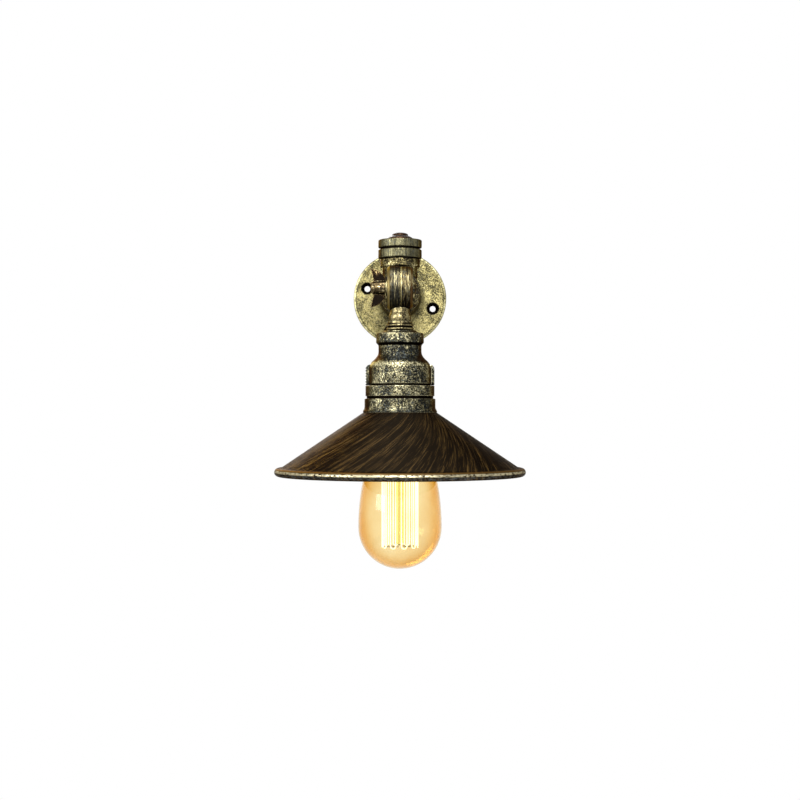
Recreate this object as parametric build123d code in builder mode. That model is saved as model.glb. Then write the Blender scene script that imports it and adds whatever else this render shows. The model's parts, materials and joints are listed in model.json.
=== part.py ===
"""A rustic wall light of cast pipe fittings, with a swivel joint, a conical shade and a filament bulb.

The origin is the centre of the wall flange's back face. +Y points into the wall, the light reaches
out along -Y, +X is its right side seen from the room, and +Z is up. Lengths are millimetres.
A reach is a distance from the wall, a drop is a distance below the swivel pin, and a rise is a
distance above it.
"""

from build123d import *
import os
from math import atan2, cos, degrees, pi, sin, tan

os.makedirs("parts", exist_ok=True)

# Shared fits
overrun = 4.0
thread_clearance = 0.1
running_clearance = 0.08
seat_gap = 0.2
face_gap = 0.2

# Half-inch pipe thread, which every casting is bored for
pipe_radius = 10.65
pipe_wall = 2.75
pipe_engagement = 13.0
pipe_bore_radius = pipe_radius - pipe_wall
tapped_radius = pipe_radius + thread_clearance

# Wall flange
flange_radius = 39.0
flange_thickness = 5.5
flange_edge = 1.4
flange_dish = 1.0
hub_wall = 5.0
hub_length = 16.0
hub_chamfer = 1.0
hub_flare = 4.0
bolt_circle_radius = 28.75
bolt_count = 4
bolt_hole_radius = 2.5
countersink_radius = 4.8
first_bolt_angle = -17.0

# Nipple between the flange and the tee
nipple_exposed = 8.0

# Tee, its run level and its branch up
tee_half_length = 28.0
tee_wall = 3.35
tee_band_step = 2.0
tee_band_length = 8.0
branch_band_length = 6.5
tee_edge = 0.8
tee_cavity_radius = 9.6

# Cap on the branch, two bands with a groove between
cap_gap = 0.6
cap_band_height = 6.9
cap_top_band_height = 6.3
cap_groove_height = 1.6
cap_groove_depth = 1.5
cap_wall = 6.8
cap_roof = 3.2
cap_edge = 0.7
cap_nipple_stand = 9.5

# Washer and domed screw on the cap
cap_washer_radius = 10.2
cap_washer_thickness = 3.6
cap_screw_radius = 2.5
cap_screw_head_radius = 6.5
cap_screw_head_height = 2.5
cap_screw_length = 9.4

# Swivel joint
stem_length = 28.0
knuckle_radius = 17.0
knuckle_thickness = 9.9
knuckle_edge = 2.2
knuckle_rim = 4.4
knuckle_floor = 3.6
knuckle_boss_wall = 2.6
rear_knuckle_step = 0.8
stem_collar_step = 1.6
stem_collar_length = 4.0
neck_radius = 7.9
neck_flare_radius = 9.6
neck_length = 10.3
stub_exposed = 5.4
stub_ridge_depth = 0.5
stub_ridge_pitch = 2.7
stub_ridge_count = 2
wire_way_radius = 3.4
wire_way_offset = 2.6

# Clamp bolt, washer and wing nut
bolt_radius = 3.0
bolt_head_radius = 5.2
bolt_head_height = 2.6
bolt_square_side = 6.0
bolt_square_length = 2.8
washer_radius = 6.4
washer_thickness = 0.8
hub_nut_length = 11.2
hub_nut_wall = 2.3
hub_nut_edge = 0.9
wing_reach = 15.2
wing_thickness = 3.0
wing_corner_shares = (0.04, 0.56)
wing_bow_shares = (0.42, 0.8)
wing_tip_share = 0.02
wing_foot_share = 0.25

# Bulb cap, a 27 mm Edison screw
screw_crest_radius = 12.95
screw_depth = 0.75
screw_pitch = 3.6
screw_turns = 5
screw_form_shares = ((1, 0), (0, 0.25), (0, 0.5), (1, 0.75))
screw_wall = 0.4
bulb_base_length = 27.3
bulb_button_radius = 4.8
bulb_button_height = 1.5
bulb_insulator_height = 4.6

# Lampholder
holder_shell_gap = 0.35
holder_shell_wall = 0.5
holder_wall = 4.35
holder_floor = 6.5
holder_pocket_depth = 4.5
holder_mouth_flare = 1.8
contact_thickness = 0.5
contact_travel = 2.4
contact_width = 4.0
contact_reach = 8.8
contact_flange_gap = 1.8
contact_foot_share = 0.5
contact_tip_share = 0.35
contact_bend_share = 0.45
terminal_length = 6.6
terminal_width = 6.0
terminal_offset = 9.6
terminal_pin_radius = 1.2
terminal_screw_head_radius = 1.9
terminal_screw_head_height = 1.4
terminal_screw_radius = 1.2
terminal_screw_length = 3.2

# Hanger that carries the lampholder inside the cup
hanger_nipple_radius = 5.0
hanger_nipple_wall = 1.5
hanger_nipple_engagement = 8.0
hanger_nipple_length = 22.5
hanger_plate_thickness = 1.2
hanger_plate_margin = 2.0
hanger_span = 28.0
hanger_foot = 7.4
hanger_height = 8.7
locknut_flat_radius = 7.0
locknut_sides = 6
locknut_height = 3.0
hanger_screw_radius = 1.5
hanger_screw_head_radius = 2.7
hanger_screw_head_height = 1.6
hanger_screw_length = 5.0

# Cup, cast like a reducing coupling
cup_chamfer_height = 3.0
cup_chamfer_depth = 4.4
cup_band_step = 1.9
cup_band_height = 6.5
cup_undercut_height = 1.9
cup_neck_wall = 5.75
cup_neck_height = 6.6
cup_shoulder_height = 9.9
cup_clearance = 2.4
cup_wall = 2.55
cup_ring_step = 2.4
cup_ring_height = 8.1
cup_groove_height = 1.5
cup_groove_depth = 1.0
cup_edge = 0.6
cup_holder_drop = 3.4
cup_rib_step = 2.3
cup_rib_width = 6.0
cup_rib_rise = 2.2
cup_spigot_wall = 3.4
cup_spigot_height = 7.7

# Collar that holds the shade
collar_wall = 2.2
collar_height = 10.0
collar_gap = 1.9
collar_edge = 0.7
shade_hole_clearance = 0.5
clamp_ring_height = 5.0
clamp_ring_width = 5.2

# Shade
shade_sheet = 1.0
shade_rim_radius = 96.25
shade_height = 49.3
bead_radius = 3.15
bead_entry_share = 0.87

# Glass bulb
glass_radius = 32.0
glass_thickness = 0.8
glass_neck_step = 1.0
glass_neck_height = 2.6
glass_seat_depth = 3.6
glass_shoulder_length = 80.0
stem_flare_height = 6.0
stem_rod_radius = 3.0
stem_rod_length = 100.0
stem_flare_gap = 0.15
filament_start = 17.0
filament_length = 79.0
filament_strands = 20
strand_phase_share = 0.25
filament_cage_radius = 13.8
filament_wire_radius = 0.4
support_wire_radius = 0.25
support_gap = 0.1

# Insulated leads
lead_radius = 1.1
lead_spacing = 2.8
lead_bend = 2.2
lead_back = 0.8

# Places worked out along the wall axis
tee_rear_reach = hub_length + nipple_exposed
tee_centre_reach = tee_rear_reach + tee_half_length
tee_front_reach = tee_centre_reach + tee_half_length
pivot_reach = tee_front_reach + stem_length

# Places worked out down the lamp's own axis
neck_drop = knuckle_radius + neck_length
cup_top_drop = neck_drop + stub_exposed
cup_band_top = cup_top_drop + cup_chamfer_height
cup_band_bottom = cup_band_top + cup_band_height
cup_neck_top = cup_band_bottom + cup_undercut_height
cup_neck_bottom = cup_neck_top + cup_neck_height
cup_body_top = cup_neck_bottom + cup_shoulder_height
holder_top = cup_body_top + cup_holder_drop
holder_cavity_top = holder_top + holder_floor
contact_drop = holder_cavity_top + contact_thickness + contact_travel
bulb_tip_drop = contact_drop + running_clearance
bulb_base_drop = bulb_tip_drop + bulb_base_length
holder_bottom = bulb_base_drop + seat_gap
shade_top = holder_bottom - clamp_ring_height - shade_sheet
collar_top = shade_top - collar_height
cup_ring_bottom = collar_top - collar_gap
cup_ring_top = cup_ring_bottom - cup_ring_height
cup_body_bottom = cup_ring_top - cup_groove_height
spigot_bottom = cup_ring_bottom + cup_spigot_height

# Radii worked out from the bulb's cap outwards
shell_crest_radius = screw_crest_radius + holder_shell_gap
shell_radius = shell_crest_radius + screw_depth + holder_shell_wall
holder_cavity_radius = shell_radius + seat_gap
holder_radius = holder_cavity_radius + holder_wall
cup_bore_radius = holder_radius + cup_clearance
cup_body_radius = cup_bore_radius + cup_wall
cup_ring_radius = cup_body_radius + cup_ring_step
spigot_radius = cup_bore_radius + cup_spigot_wall
collar_bore_radius = spigot_radius + thread_clearance
collar_radius = collar_bore_radius + collar_wall
cup_neck_radius = tapped_radius + cup_neck_wall
cup_band_radius = cup_neck_radius + cup_band_step
shade_hole_radius = holder_radius + shade_hole_clearance

# Planes and axes that the pieces turn on
wall_plane = Plane.XY
branch_plane = Plane.XZ.offset(tee_centre_reach)
lamp_plane = Plane.XZ.offset(pivot_reach)
pivot_plane = Plane(origin=(0, -pivot_reach, 0), x_dir=(1, 0, 0), z_dir=(0, 0, 1))
branch_axis = Axis((0, -tee_centre_reach, 0), (0, 0, 1))
lamp_axis = Axis((0, -pivot_reach, 0), (0, 0, 1))
pivot_axis = Axis((0, -pivot_reach, 0), (1, 0, 0))


def turn(plane, axis, outline, mode=Mode.ADD):
    """Turns a closed outline round an axis and adds it to, or cuts it from, the piece in hand."""
    with BuildSketch(plane) as section:
        with BuildLine():
            Polyline(*outline, close=True)
        make_face()
    revolve(section.sketch, axis=axis, mode=mode)


def turn_on_wall(outline, mode=Mode.ADD):
    """Turns points of radius and reach round the wall axis."""
    turn(wall_plane, Axis.Y, [(radius, -reach) for radius, reach in outline], mode)


def turn_on_branch(outline, mode=Mode.ADD):
    """Turns points of radius and rise round the branch of the tee."""
    turn(branch_plane, branch_axis, outline, mode)


def turn_on_lamp(outline, mode=Mode.ADD):
    """Turns points of radius and drop round the lamp's axis."""
    turn(lamp_plane, lamp_axis, [(radius, -drop) for radius, drop in outline], mode)


def turn_on_pivot(outline, mode=Mode.ADD):
    """Turns points of side position and radius round the swivel pin."""
    turn(pivot_plane, pivot_axis, outline, mode)


def tube(inner, outer, start, end):
    """Gives the outline of a plain tube: radius first, then the place along its axis."""
    return [(inner, start), (outer, start), (outer, end), (inner, end)]


def disc(inner, outer, start, end):
    """Gives the outline of a ring on the pin: side position first, then the radius."""
    return [(start, inner), (start, outer), (end, outer), (end, inner)]


def edged_tube(inner, outer, start, end, edge):
    """Gives a tube's outline with both outer edges broken by a chamfer."""
    inward = edge if end > start else -edge
    return [
        (inner, start),
        (outer - edge, start),
        (outer, start + inward),
        (outer, end - inward),
        (outer - edge, end),
        (inner, end),
    ]


def rod(start, end, radius):
    """Adds a round rod from one point to another."""
    along = Vector(*end) - Vector(*start)
    with BuildSketch(Plane(origin=start, z_dir=along)) as section:
        Circle(radius)
    extrude(section.sketch, amount=along.length)


def lead(points, bend):
    """Adds an insulated lead that follows a line of points with rounded corners."""
    with BuildLine() as route:
        FilletPolyline(*points, radius=bend)
    start = route.line @ 0
    with BuildSketch(Plane(origin=start, z_dir=route.line % 0)) as section:
        Circle(lead_radius)
    sweep(section.sketch, path=route.line)


def screw_outline(crest, depth, wall, start, end):
    """Gives the outline of a thin rolled screw shell: its outer line down and its inner line up."""
    first = (start + end - screw_turns * screw_pitch) / 2
    line = [(crest - depth, start)]
    for number in range(screw_turns):
        for inward, share in screw_form_shares:
            line.append((crest - inward * depth, first + (number + share) * screw_pitch))
    line.append((crest - depth, end))
    inner = [(radius - wall, place) for radius, place in reversed(line)]
    return line + inner


# Wall flange: a dished disc, a hub bored for the nipple, and four countersunk holes
hub_radius = tapped_radius + hub_wall
with BuildPart() as wall_flange:
    turn_on_wall(
        [
            (tapped_radius, 0),
            (flange_radius, 0),
            (flange_radius, flange_thickness - flange_edge),
            (flange_radius - flange_edge, flange_thickness),
            (flange_radius - 2 * flange_edge, flange_thickness),
            (flange_radius - 3 * flange_edge, flange_thickness - flange_dish / 2),
            (hub_radius + hub_flare, flange_thickness),
            (hub_radius + flange_dish, flange_thickness + hub_flare - flange_dish),
            (hub_radius, hub_length - hub_chamfer),
            (hub_radius - hub_chamfer, hub_length),
            (tapped_radius, hub_length),
        ]
    )
    with BuildSketch(Plane.XZ.offset(-overrun)) as holes:
        with PolarLocations(bolt_circle_radius, bolt_count, start_angle=first_bolt_angle):
            Circle(bolt_hole_radius)
    extrude(amount=2 * overrun + flange_thickness, mode=Mode.SUBTRACT)
    sink_depth = countersink_radius - bolt_hole_radius
    for number in range(bolt_count):
        turned = first_bolt_angle + number * 360 / bolt_count
        middle = Vector(bolt_circle_radius, 0, 0).rotate(Axis.Y, -turned)
        with BuildSketch(Plane(origin=middle, x_dir=(1, 0, 0), z_dir=(0, 0, 1))) as sink:
            with BuildLine():
                Polyline(
                    (0, -(flange_thickness - flange_dish / 2 - sink_depth)),
                    (bolt_hole_radius, -(flange_thickness - flange_dish / 2 - sink_depth)),
                    (countersink_radius, -(flange_thickness - flange_dish / 2)),
                    (countersink_radius, -(flange_thickness + overrun)),
                    (0, -(flange_thickness + overrun)),
                    close=True,
                )
            make_face()
        revolve(axis=Axis(middle, (0, 1, 0)), mode=Mode.SUBTRACT)
wall_flange.part.label = "wall_flange"
export_step(wall_flange.part, "parts/wall_flange.step")

# Nipple from the flange to the tee
nipple_back = hub_length - pipe_engagement
with BuildPart() as wall_nipple:
    turn_on_wall(tube(pipe_bore_radius, pipe_radius, nipple_back, tee_rear_reach + pipe_engagement))
wall_nipple.part.label = "wall_nipple"
export_step(wall_nipple.part, "parts/wall_nipple.step")

# Tee: two bodies that cross, a band at each mouth, and three tapped mouths that meet in a cavity
tee_body_radius = tapped_radius + tee_wall
tee_band_radius = tee_body_radius + tee_band_step
with BuildPart() as tee:
    turn_on_wall(tube(0, tee_body_radius, tee_rear_reach + tee_edge, tee_front_reach - tee_edge))
    turn_on_branch(tube(0, tee_body_radius, 0, tee_half_length - tee_edge))
    turn_on_wall(edged_tube(0, tee_band_radius, tee_rear_reach, tee_rear_reach + tee_band_length, tee_edge))
    turn_on_wall(
        edged_tube(0, tee_band_radius, tee_front_reach, tee_front_reach - tee_band_length, tee_edge)
    )
    turn_on_branch(
        edged_tube(0, tee_band_radius, tee_half_length, tee_half_length - branch_band_length, tee_edge)
    )
    turn_on_wall(tube(0, tee_cavity_radius, tee_rear_reach, tee_front_reach), Mode.SUBTRACT)
    turn_on_branch(tube(0, tee_cavity_radius, 0, tee_half_length), Mode.SUBTRACT)
    turn_on_wall(
        tube(0, tapped_radius, tee_rear_reach - overrun, tee_rear_reach + pipe_engagement + seat_gap),
        Mode.SUBTRACT,
    )
    turn_on_wall(
        tube(0, tapped_radius, tee_front_reach + overrun, tee_front_reach - pipe_engagement - seat_gap),
        Mode.SUBTRACT,
    )
    turn_on_branch(
        tube(0, tapped_radius, tee_half_length + overrun, tee_half_length - pipe_engagement - seat_gap),
        Mode.SUBTRACT,
    )
tee.part.label = "tee"
export_step(tee.part, "parts/tee.step")

# Close nipple in the branch, under the cap
cap_bottom = tee_half_length + cap_gap
with BuildPart() as cap_nipple:
    turn_on_branch(
        tube(
            pipe_bore_radius,
            pipe_radius,
            tee_half_length - pipe_engagement,
            cap_bottom + cap_nipple_stand,
        )
    )
cap_nipple.part.label = "cap_nipple"
export_step(cap_nipple.part, "parts/cap_nipple.step")

# Cap: two bands, the groove between them, and a roof tapped for the screw
cap_radius = tapped_radius + cap_wall
cap_groove_bottom = cap_bottom + cap_band_height
cap_groove_top = cap_groove_bottom + cap_groove_height
cap_top = cap_groove_top + cap_top_band_height
with BuildPart() as branch_cap:
    turn_on_branch(edged_tube(0, cap_radius, cap_bottom, cap_groove_bottom, cap_edge))
    groove_radius = cap_radius - cap_groove_depth
    turn_on_branch(tube(0, groove_radius, cap_groove_bottom - cap_edge, cap_groove_top + cap_edge))
    turn_on_branch(edged_tube(0, cap_radius, cap_groove_top, cap_top, cap_edge))
    turn_on_branch(tube(0, tapped_radius, cap_bottom - overrun, cap_top - cap_roof), Mode.SUBTRACT)
    turn_on_branch(
        tube(0, cap_screw_radius + thread_clearance, cap_bottom, cap_top + overrun),
        Mode.SUBTRACT,
    )
branch_cap.part.label = "branch_cap"
export_step(branch_cap.part, "parts/branch_cap.step")

# Conical washer on the cap
washer_top = cap_top + cap_washer_thickness
with BuildPart() as cap_washer:
    turn_on_branch(
        [
            (cap_screw_radius + thread_clearance, cap_top),
            (cap_washer_radius, cap_top),
            (cap_washer_radius, cap_top + cap_washer_thickness / 2),
            (cap_screw_head_radius, washer_top),
            (cap_screw_radius + thread_clearance, washer_top),
        ]
    )
cap_washer.part.label = "cap_washer"
export_step(cap_washer.part, "parts/cap_washer.step")

# Domed screw
dome_shoulder = cap_screw_head_height / 3
dome_top = washer_top + cap_screw_head_height
with BuildPart() as cap_screw:
    with BuildSketch(branch_plane) as dome:
        with BuildLine():
            Line((0, washer_top), (cap_screw_head_radius, washer_top))
            Line((cap_screw_head_radius, washer_top), (cap_screw_head_radius, washer_top + dome_shoulder))
            TangentArc((0, dome_top), (cap_screw_head_radius, washer_top + dome_shoulder), tangent=(1, 0))
            Line((0, dome_top), (0, washer_top))
        make_face()
    revolve(axis=branch_axis)
    turn_on_branch(tube(0, cap_screw_radius, washer_top - cap_screw_length, washer_top))
cap_screw.part.label = "cap_screw"
export_step(cap_screw.part, "parts/cap_screw.step")

# Rear half of the swivel: a threaded stem in the tee, a collar, and a hollow disc beside the pin
half_gap = face_gap / 2
outer_face = half_gap + knuckle_thickness
rear_knuckle_radius = knuckle_radius - rear_knuckle_step
boss_radius = bolt_radius + running_clearance + knuckle_boss_wall
pin_hole_radius = bolt_radius + running_clearance
cavity_depth = outer_face - knuckle_floor


def knuckle_disc(side, radius):
    """Adds one disc of the swivel, with a rounded outer edge, on the given side of the pin."""
    with BuildSketch(pivot_plane) as section:
        with BuildLine():
            Line((side * half_gap, 0), (side * half_gap, radius))
            Line((side * half_gap, radius), (side * (outer_face - knuckle_edge), radius))
            corner = knuckle_edge * (1 - cos(pi / 4))
            ThreePointArc(
                (side * (outer_face - knuckle_edge), radius),
                (side * (outer_face - corner), radius - corner),
                (side * outer_face, radius - knuckle_edge),
            )
            Line((side * outer_face, radius - knuckle_edge), (side * outer_face, 0))
            Line((side * outer_face, 0), (side * half_gap, 0))
        make_face()
    revolve(section.sketch, axis=pivot_axis)


def hollow_knuckle(side, radius):
    """Cuts the pin hole and the ring-shaped wire space from one disc of the swivel."""
    turn_on_pivot(disc(0, pin_hole_radius, -side * overrun, side * (outer_face + overrun)), Mode.SUBTRACT)
    wire_space = disc(boss_radius, radius - knuckle_rim, -side * overrun, side * cavity_depth)
    turn_on_pivot(wire_space, Mode.SUBTRACT)


stem_collar_radius = pipe_radius + stem_collar_step
stem_collar_front = tee_front_reach + stem_collar_length
with BuildPart() as arm_knuckle:
    turn_on_wall(tube(0, pipe_radius, tee_front_reach - pipe_engagement, tee_front_reach))
    turn_on_wall(edged_tube(0, stem_collar_radius, tee_front_reach, stem_collar_front, tee_edge))
    turn_on_wall(tube(0, neck_radius, stem_collar_front, pivot_reach - knuckle_radius + knuckle_rim))
    turn_on_pivot(disc(0, knuckle_radius + seat_gap * 2, half_gap, -outer_face), Mode.SUBTRACT)
    knuckle_disc(1, rear_knuckle_radius)
    hollow_knuckle(1, rear_knuckle_radius)
    turn_on_wall(
        tube(0, pipe_bore_radius, tee_front_reach - pipe_engagement - overrun, tee_front_reach),
        Mode.SUBTRACT,
    )
    with BuildSketch(Plane.XZ.offset(tee_front_reach - overrun)) as wire_way:
        with Locations((wire_way_offset, 0)):
            Circle(wire_way_radius)
    extrude(amount=pivot_reach - boss_radius - knuckle_rim - tee_front_reach + overrun, mode=Mode.SUBTRACT)
    with BuildSketch(Plane.YZ.offset(outer_face + overrun)) as square_seat:
        with Locations((-pivot_reach, 0)):
            Rectangle(bolt_square_side + 2 * thread_clearance, bolt_square_side + 2 * thread_clearance)
    extrude(amount=-(overrun + bolt_square_length + seat_gap), mode=Mode.SUBTRACT)
arm_knuckle.part.label = "arm_knuckle"
export_step(arm_knuckle.part, "parts/arm_knuckle.step")

# Lower half of the swivel: a hollow disc that runs down into a neck and a threaded stub
stub_bottom = cup_top_drop + pipe_engagement
stub_root = pipe_radius - stub_ridge_depth
stub_line = [(0, neck_drop), (stub_root, neck_drop)]
for number in range(stub_ridge_count):
    ridge = neck_drop + number * stub_ridge_pitch
    stub_line += [
        (pipe_radius, ridge + stub_ridge_pitch / 4),
        (pipe_radius, ridge + stub_ridge_pitch * 3 / 4),
        (stub_root, ridge + stub_ridge_pitch),
    ]
stub_line += [(stub_root, cup_top_drop + seat_gap), (pipe_radius, cup_top_drop + seat_gap)]
stub_line += [(pipe_radius, stub_bottom), (0, stub_bottom)]
hanger_nipple_top = stub_bottom - hanger_nipple_engagement
with BuildPart() as head_knuckle:
    turn_on_lamp(
        [
            (0, knuckle_radius - knuckle_rim),
            (neck_radius, knuckle_radius - knuckle_rim),
            (neck_radius, knuckle_radius + neck_length / 2),
            (neck_flare_radius, neck_drop),
            (0, neck_drop),
        ]
    )
    turn_on_pivot(disc(0, knuckle_radius, -half_gap, outer_face), Mode.SUBTRACT)
    turn_on_lamp(stub_line)
    knuckle_disc(-1, knuckle_radius)
    hollow_knuckle(-1, knuckle_radius)
    with BuildSketch(Plane.XY.offset(-boss_radius - knuckle_floor)) as wire_way:
        with Locations((-wire_way_offset, -pivot_reach)):
            Circle(wire_way_radius)
    extrude(amount=-(neck_drop - boss_radius - knuckle_floor), mode=Mode.SUBTRACT)
    turn_on_lamp(
        tube(0, hanger_nipple_radius + thread_clearance, neck_drop, stub_bottom + overrun),
        Mode.SUBTRACT,
    )
head_knuckle.part.label = "head_knuckle"
export_step(head_knuckle.part, "parts/head_knuckle.step")

# Clamp bolt: a low domed head, a square under it, and a long threaded shank
hub_nut_start = outer_face + washer_thickness + 2 * seat_gap
hub_nut_end = hub_nut_start + hub_nut_length
with BuildPart() as clamp_bolt:
    with BuildSketch(pivot_plane) as bolt_head:
        with BuildLine():
            Line((outer_face, 0), (outer_face, bolt_head_radius))
            TangentArc((outer_face + bolt_head_height, 0), (outer_face, bolt_head_radius), tangent=(0, 1))
            Line((outer_face + bolt_head_height, 0), (outer_face, 0))
        make_face()
    revolve(axis=pivot_axis)
    turn_on_pivot(disc(0, bolt_radius, -hub_nut_end + seat_gap, outer_face))
    with BuildSketch(Plane.YZ.offset(outer_face)) as square:
        with Locations((-pivot_reach, 0)):
            Rectangle(bolt_square_side, bolt_square_side)
    extrude(amount=-bolt_square_length)
clamp_bolt.part.label = "clamp_bolt"
export_step(clamp_bolt.part, "parts/clamp_bolt.step")

# Washer under the wing nut
with BuildPart() as wing_washer:
    washer_inner = outer_face + seat_gap / 2
    turn_on_pivot(disc(pin_hole_radius, washer_radius, -washer_inner, -washer_inner - washer_thickness))
wing_washer.part.label = "wing_washer"
export_step(wing_washer.part, "parts/wing_washer.step")

# Wing nut: a turned hub with two blades that lean outwards
hub_nut_radius = pin_hole_radius + hub_nut_wall
with BuildPart() as wing_nut:
    turn_on_pivot(
        [
            (-hub_nut_start, pin_hole_radius),
            (-hub_nut_start, hub_nut_radius),
            (-hub_nut_end + hub_nut_edge, hub_nut_radius - hub_nut_edge / 2),
            (-hub_nut_end, hub_nut_radius - hub_nut_edge * 3 / 2),
            (-hub_nut_end, pin_hole_radius),
        ]
    )
    for side in (1, -1):
        with BuildSketch(lamp_plane.offset(-wing_thickness / 2)) as wing:
            blade_root = side * (pin_hole_radius + hub_nut_wall / 2)
            inner_corner = (
                -hub_nut_start - hub_nut_length * wing_corner_shares[0],
                side * wing_reach * wing_corner_shares[1],
            )
            bow_middle = (
                -hub_nut_start - hub_nut_length * wing_bow_shares[0],
                side * wing_reach * wing_bow_shares[1],
            )
            blade_tip = (-hub_nut_end - hub_nut_length * wing_tip_share, side * wing_reach)
            outer_foot = (-hub_nut_end + hub_nut_length * wing_foot_share, blade_root)
            with BuildLine():
                Line((inner_corner[0], blade_root), inner_corner)
                ThreePointArc(inner_corner, bow_middle, blade_tip)
                Line(blade_tip, outer_foot)
                Line(outer_foot, (inner_corner[0], blade_root))
            make_face()
        extrude(amount=wing_thickness)
wing_nut.part.label = "wing_nut"
export_step(wing_nut.part, "parts/wing_nut.step")

# Cup: chamfer, band, undercut neck, swelling shoulder, ribbed body, ring and threaded spigot
with BuildPart() as socket_cup:
    with BuildSketch(lamp_plane) as cup_section:
        with BuildLine():
            swell = (cup_neck_radius + cup_body_radius) / 2
            middle_drop = cup_neck_bottom + cup_shoulder_height / 2
            Polyline(
                (0, -cup_top_drop),
                (cup_band_radius - cup_chamfer_depth, -cup_top_drop),
                (cup_band_radius, -cup_band_top),
                (cup_band_radius, -cup_band_bottom),
                (cup_neck_radius, -cup_neck_top),
                (cup_neck_radius, -cup_neck_bottom),
            )
            TangentArc((cup_neck_radius, -cup_neck_bottom), (swell, -middle_drop), tangent=(0, -1))
            TangentArc(
                (cup_body_radius, -cup_body_top),
                (swell, -middle_drop),
                tangent=(0, 1),
            )
            Polyline(
                (cup_body_radius, -cup_body_top),
                (cup_body_radius, -cup_body_bottom),
                (cup_body_radius - cup_groove_depth, -cup_body_bottom),
                (cup_body_radius - cup_groove_depth, -cup_ring_top),
                (cup_ring_radius - cup_edge, -cup_ring_top),
                (cup_ring_radius, -cup_ring_top - cup_edge),
                (cup_ring_radius, -cup_ring_bottom + cup_edge),
                (cup_ring_radius - cup_edge, -cup_ring_bottom),
                (spigot_radius, -cup_ring_bottom),
                (spigot_radius, -spigot_bottom),
                (0, -spigot_bottom),
                (0, -cup_top_drop),
            )
        make_face()
    revolve(axis=lamp_axis)
    for side in (1, -1):
        rib_foot = cup_body_radius - cup_wall / 2
        rib_face = cup_body_radius + cup_rib_step
        with BuildSketch(lamp_plane.offset(-cup_rib_width / 2)) as rib:
            with BuildLine():
                Polyline(
                    (side * rib_foot, -cup_body_bottom),
                    (side * rib_face, -cup_body_bottom),
                    (side * rib_face, -cup_body_top - cup_rib_rise / 2),
                    (side * (rib_face - cup_rib_step / 2), -cup_body_top + cup_rib_rise / 2),
                    (side * rib_foot, -cup_body_top + cup_rib_rise),
                    close=True,
                )
            make_face()
        extrude(amount=cup_rib_width)
    turn_on_lamp(tube(0, tapped_radius, cup_top_drop - overrun, stub_bottom + seat_gap), Mode.SUBTRACT)
    turn_on_lamp(
        [
            (0, stub_bottom),
            (tapped_radius, stub_bottom),
            (cup_neck_radius - cup_wall, cup_neck_bottom),
            (cup_bore_radius, cup_body_top),
            (cup_bore_radius, spigot_bottom + overrun),
            (0, spigot_bottom + overrun),
        ],
        Mode.SUBTRACT,
    )
socket_cup.part.label = "socket_cup"
export_step(socket_cup.part, "parts/socket_cup.step")

# Hollow nipple that hangs the lampholder from the stub
hanger_nipple_bottom = hanger_nipple_top + hanger_nipple_length
hanger_nipple_bore = hanger_nipple_radius - hanger_nipple_wall
with BuildPart() as hanger_nipple:
    turn_on_lamp(tube(hanger_nipple_bore, hanger_nipple_radius, hanger_nipple_top, hanger_nipple_bottom))
hanger_nipple.part.label = "hanger_nipple"
export_step(hanger_nipple.part, "parts/hanger_nipple.step")

# Bridge-shaped hanger that stands on the lampholder
plate_top = holder_top - hanger_height
plate_bottom = plate_top + hanger_plate_thickness
foot_middle = (hanger_span - hanger_plate_thickness - hanger_foot) / 2
hanger_plate_width = 2 * (hanger_nipple_radius + hanger_plate_margin)
with BuildPart() as hanger:
    with BuildSketch(Plane.YZ.offset(-hanger_plate_width / 2)) as bridge:
        with BuildLine():
            half_span = hanger_span / 2
            side_inner = half_span - hanger_plate_thickness
            foot_top = -holder_top + hanger_plate_thickness
            Polyline(
                (-pivot_reach - half_span, -plate_top),
                (-pivot_reach + half_span, -plate_top),
                (-pivot_reach + half_span, -holder_top),
                (-pivot_reach + half_span - hanger_foot, -holder_top),
                (-pivot_reach + half_span - hanger_foot, foot_top),
                (-pivot_reach + side_inner, foot_top),
                (-pivot_reach + side_inner, -plate_bottom),
                (-pivot_reach - side_inner, -plate_bottom),
                (-pivot_reach - side_inner, foot_top),
                (-pivot_reach - half_span + hanger_foot, foot_top),
                (-pivot_reach - half_span + hanger_foot, -holder_top),
                (-pivot_reach - half_span, -holder_top),
                close=True,
            )
        make_face()
    extrude(amount=hanger_plate_width)
    nipple_hole = hanger_nipple_radius + thread_clearance
    turn_on_lamp(tube(0, nipple_hole, plate_top - overrun, plate_bottom + thread_clearance), Mode.SUBTRACT)
    with BuildSketch(Plane.XY.offset(-holder_top - overrun)) as foot_holes:
        with Locations((0, -pivot_reach)):
            with GridLocations(0, 2 * foot_middle, 1, 2):
                Circle(hanger_screw_radius + thread_clearance)
    extrude(amount=overrun + hanger_plate_thickness + thread_clearance, mode=Mode.SUBTRACT)
hanger.part.label = "hanger"
export_step(hanger.part, "parts/hanger.step")

# Two lock nuts that clamp the hanger on its nipple
with BuildPart() as hanger_locknuts:
    for nut_bottom in (plate_top, plate_bottom + locknut_height):
        with BuildSketch(Plane.XY.offset(-nut_bottom)) as nut:
            with Locations((0, -pivot_reach)):
                RegularPolygon(
                    locknut_flat_radius,
                    locknut_sides,
                    major_radius=False,
                    rotation=180 / locknut_sides,
                )
                Circle(hanger_nipple_radius + thread_clearance, mode=Mode.SUBTRACT)
        extrude(amount=locknut_height)
hanger_locknuts.part.label = "hanger_locknuts"
export_step(hanger_locknuts.part, "parts/hanger_locknuts.step")

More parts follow.
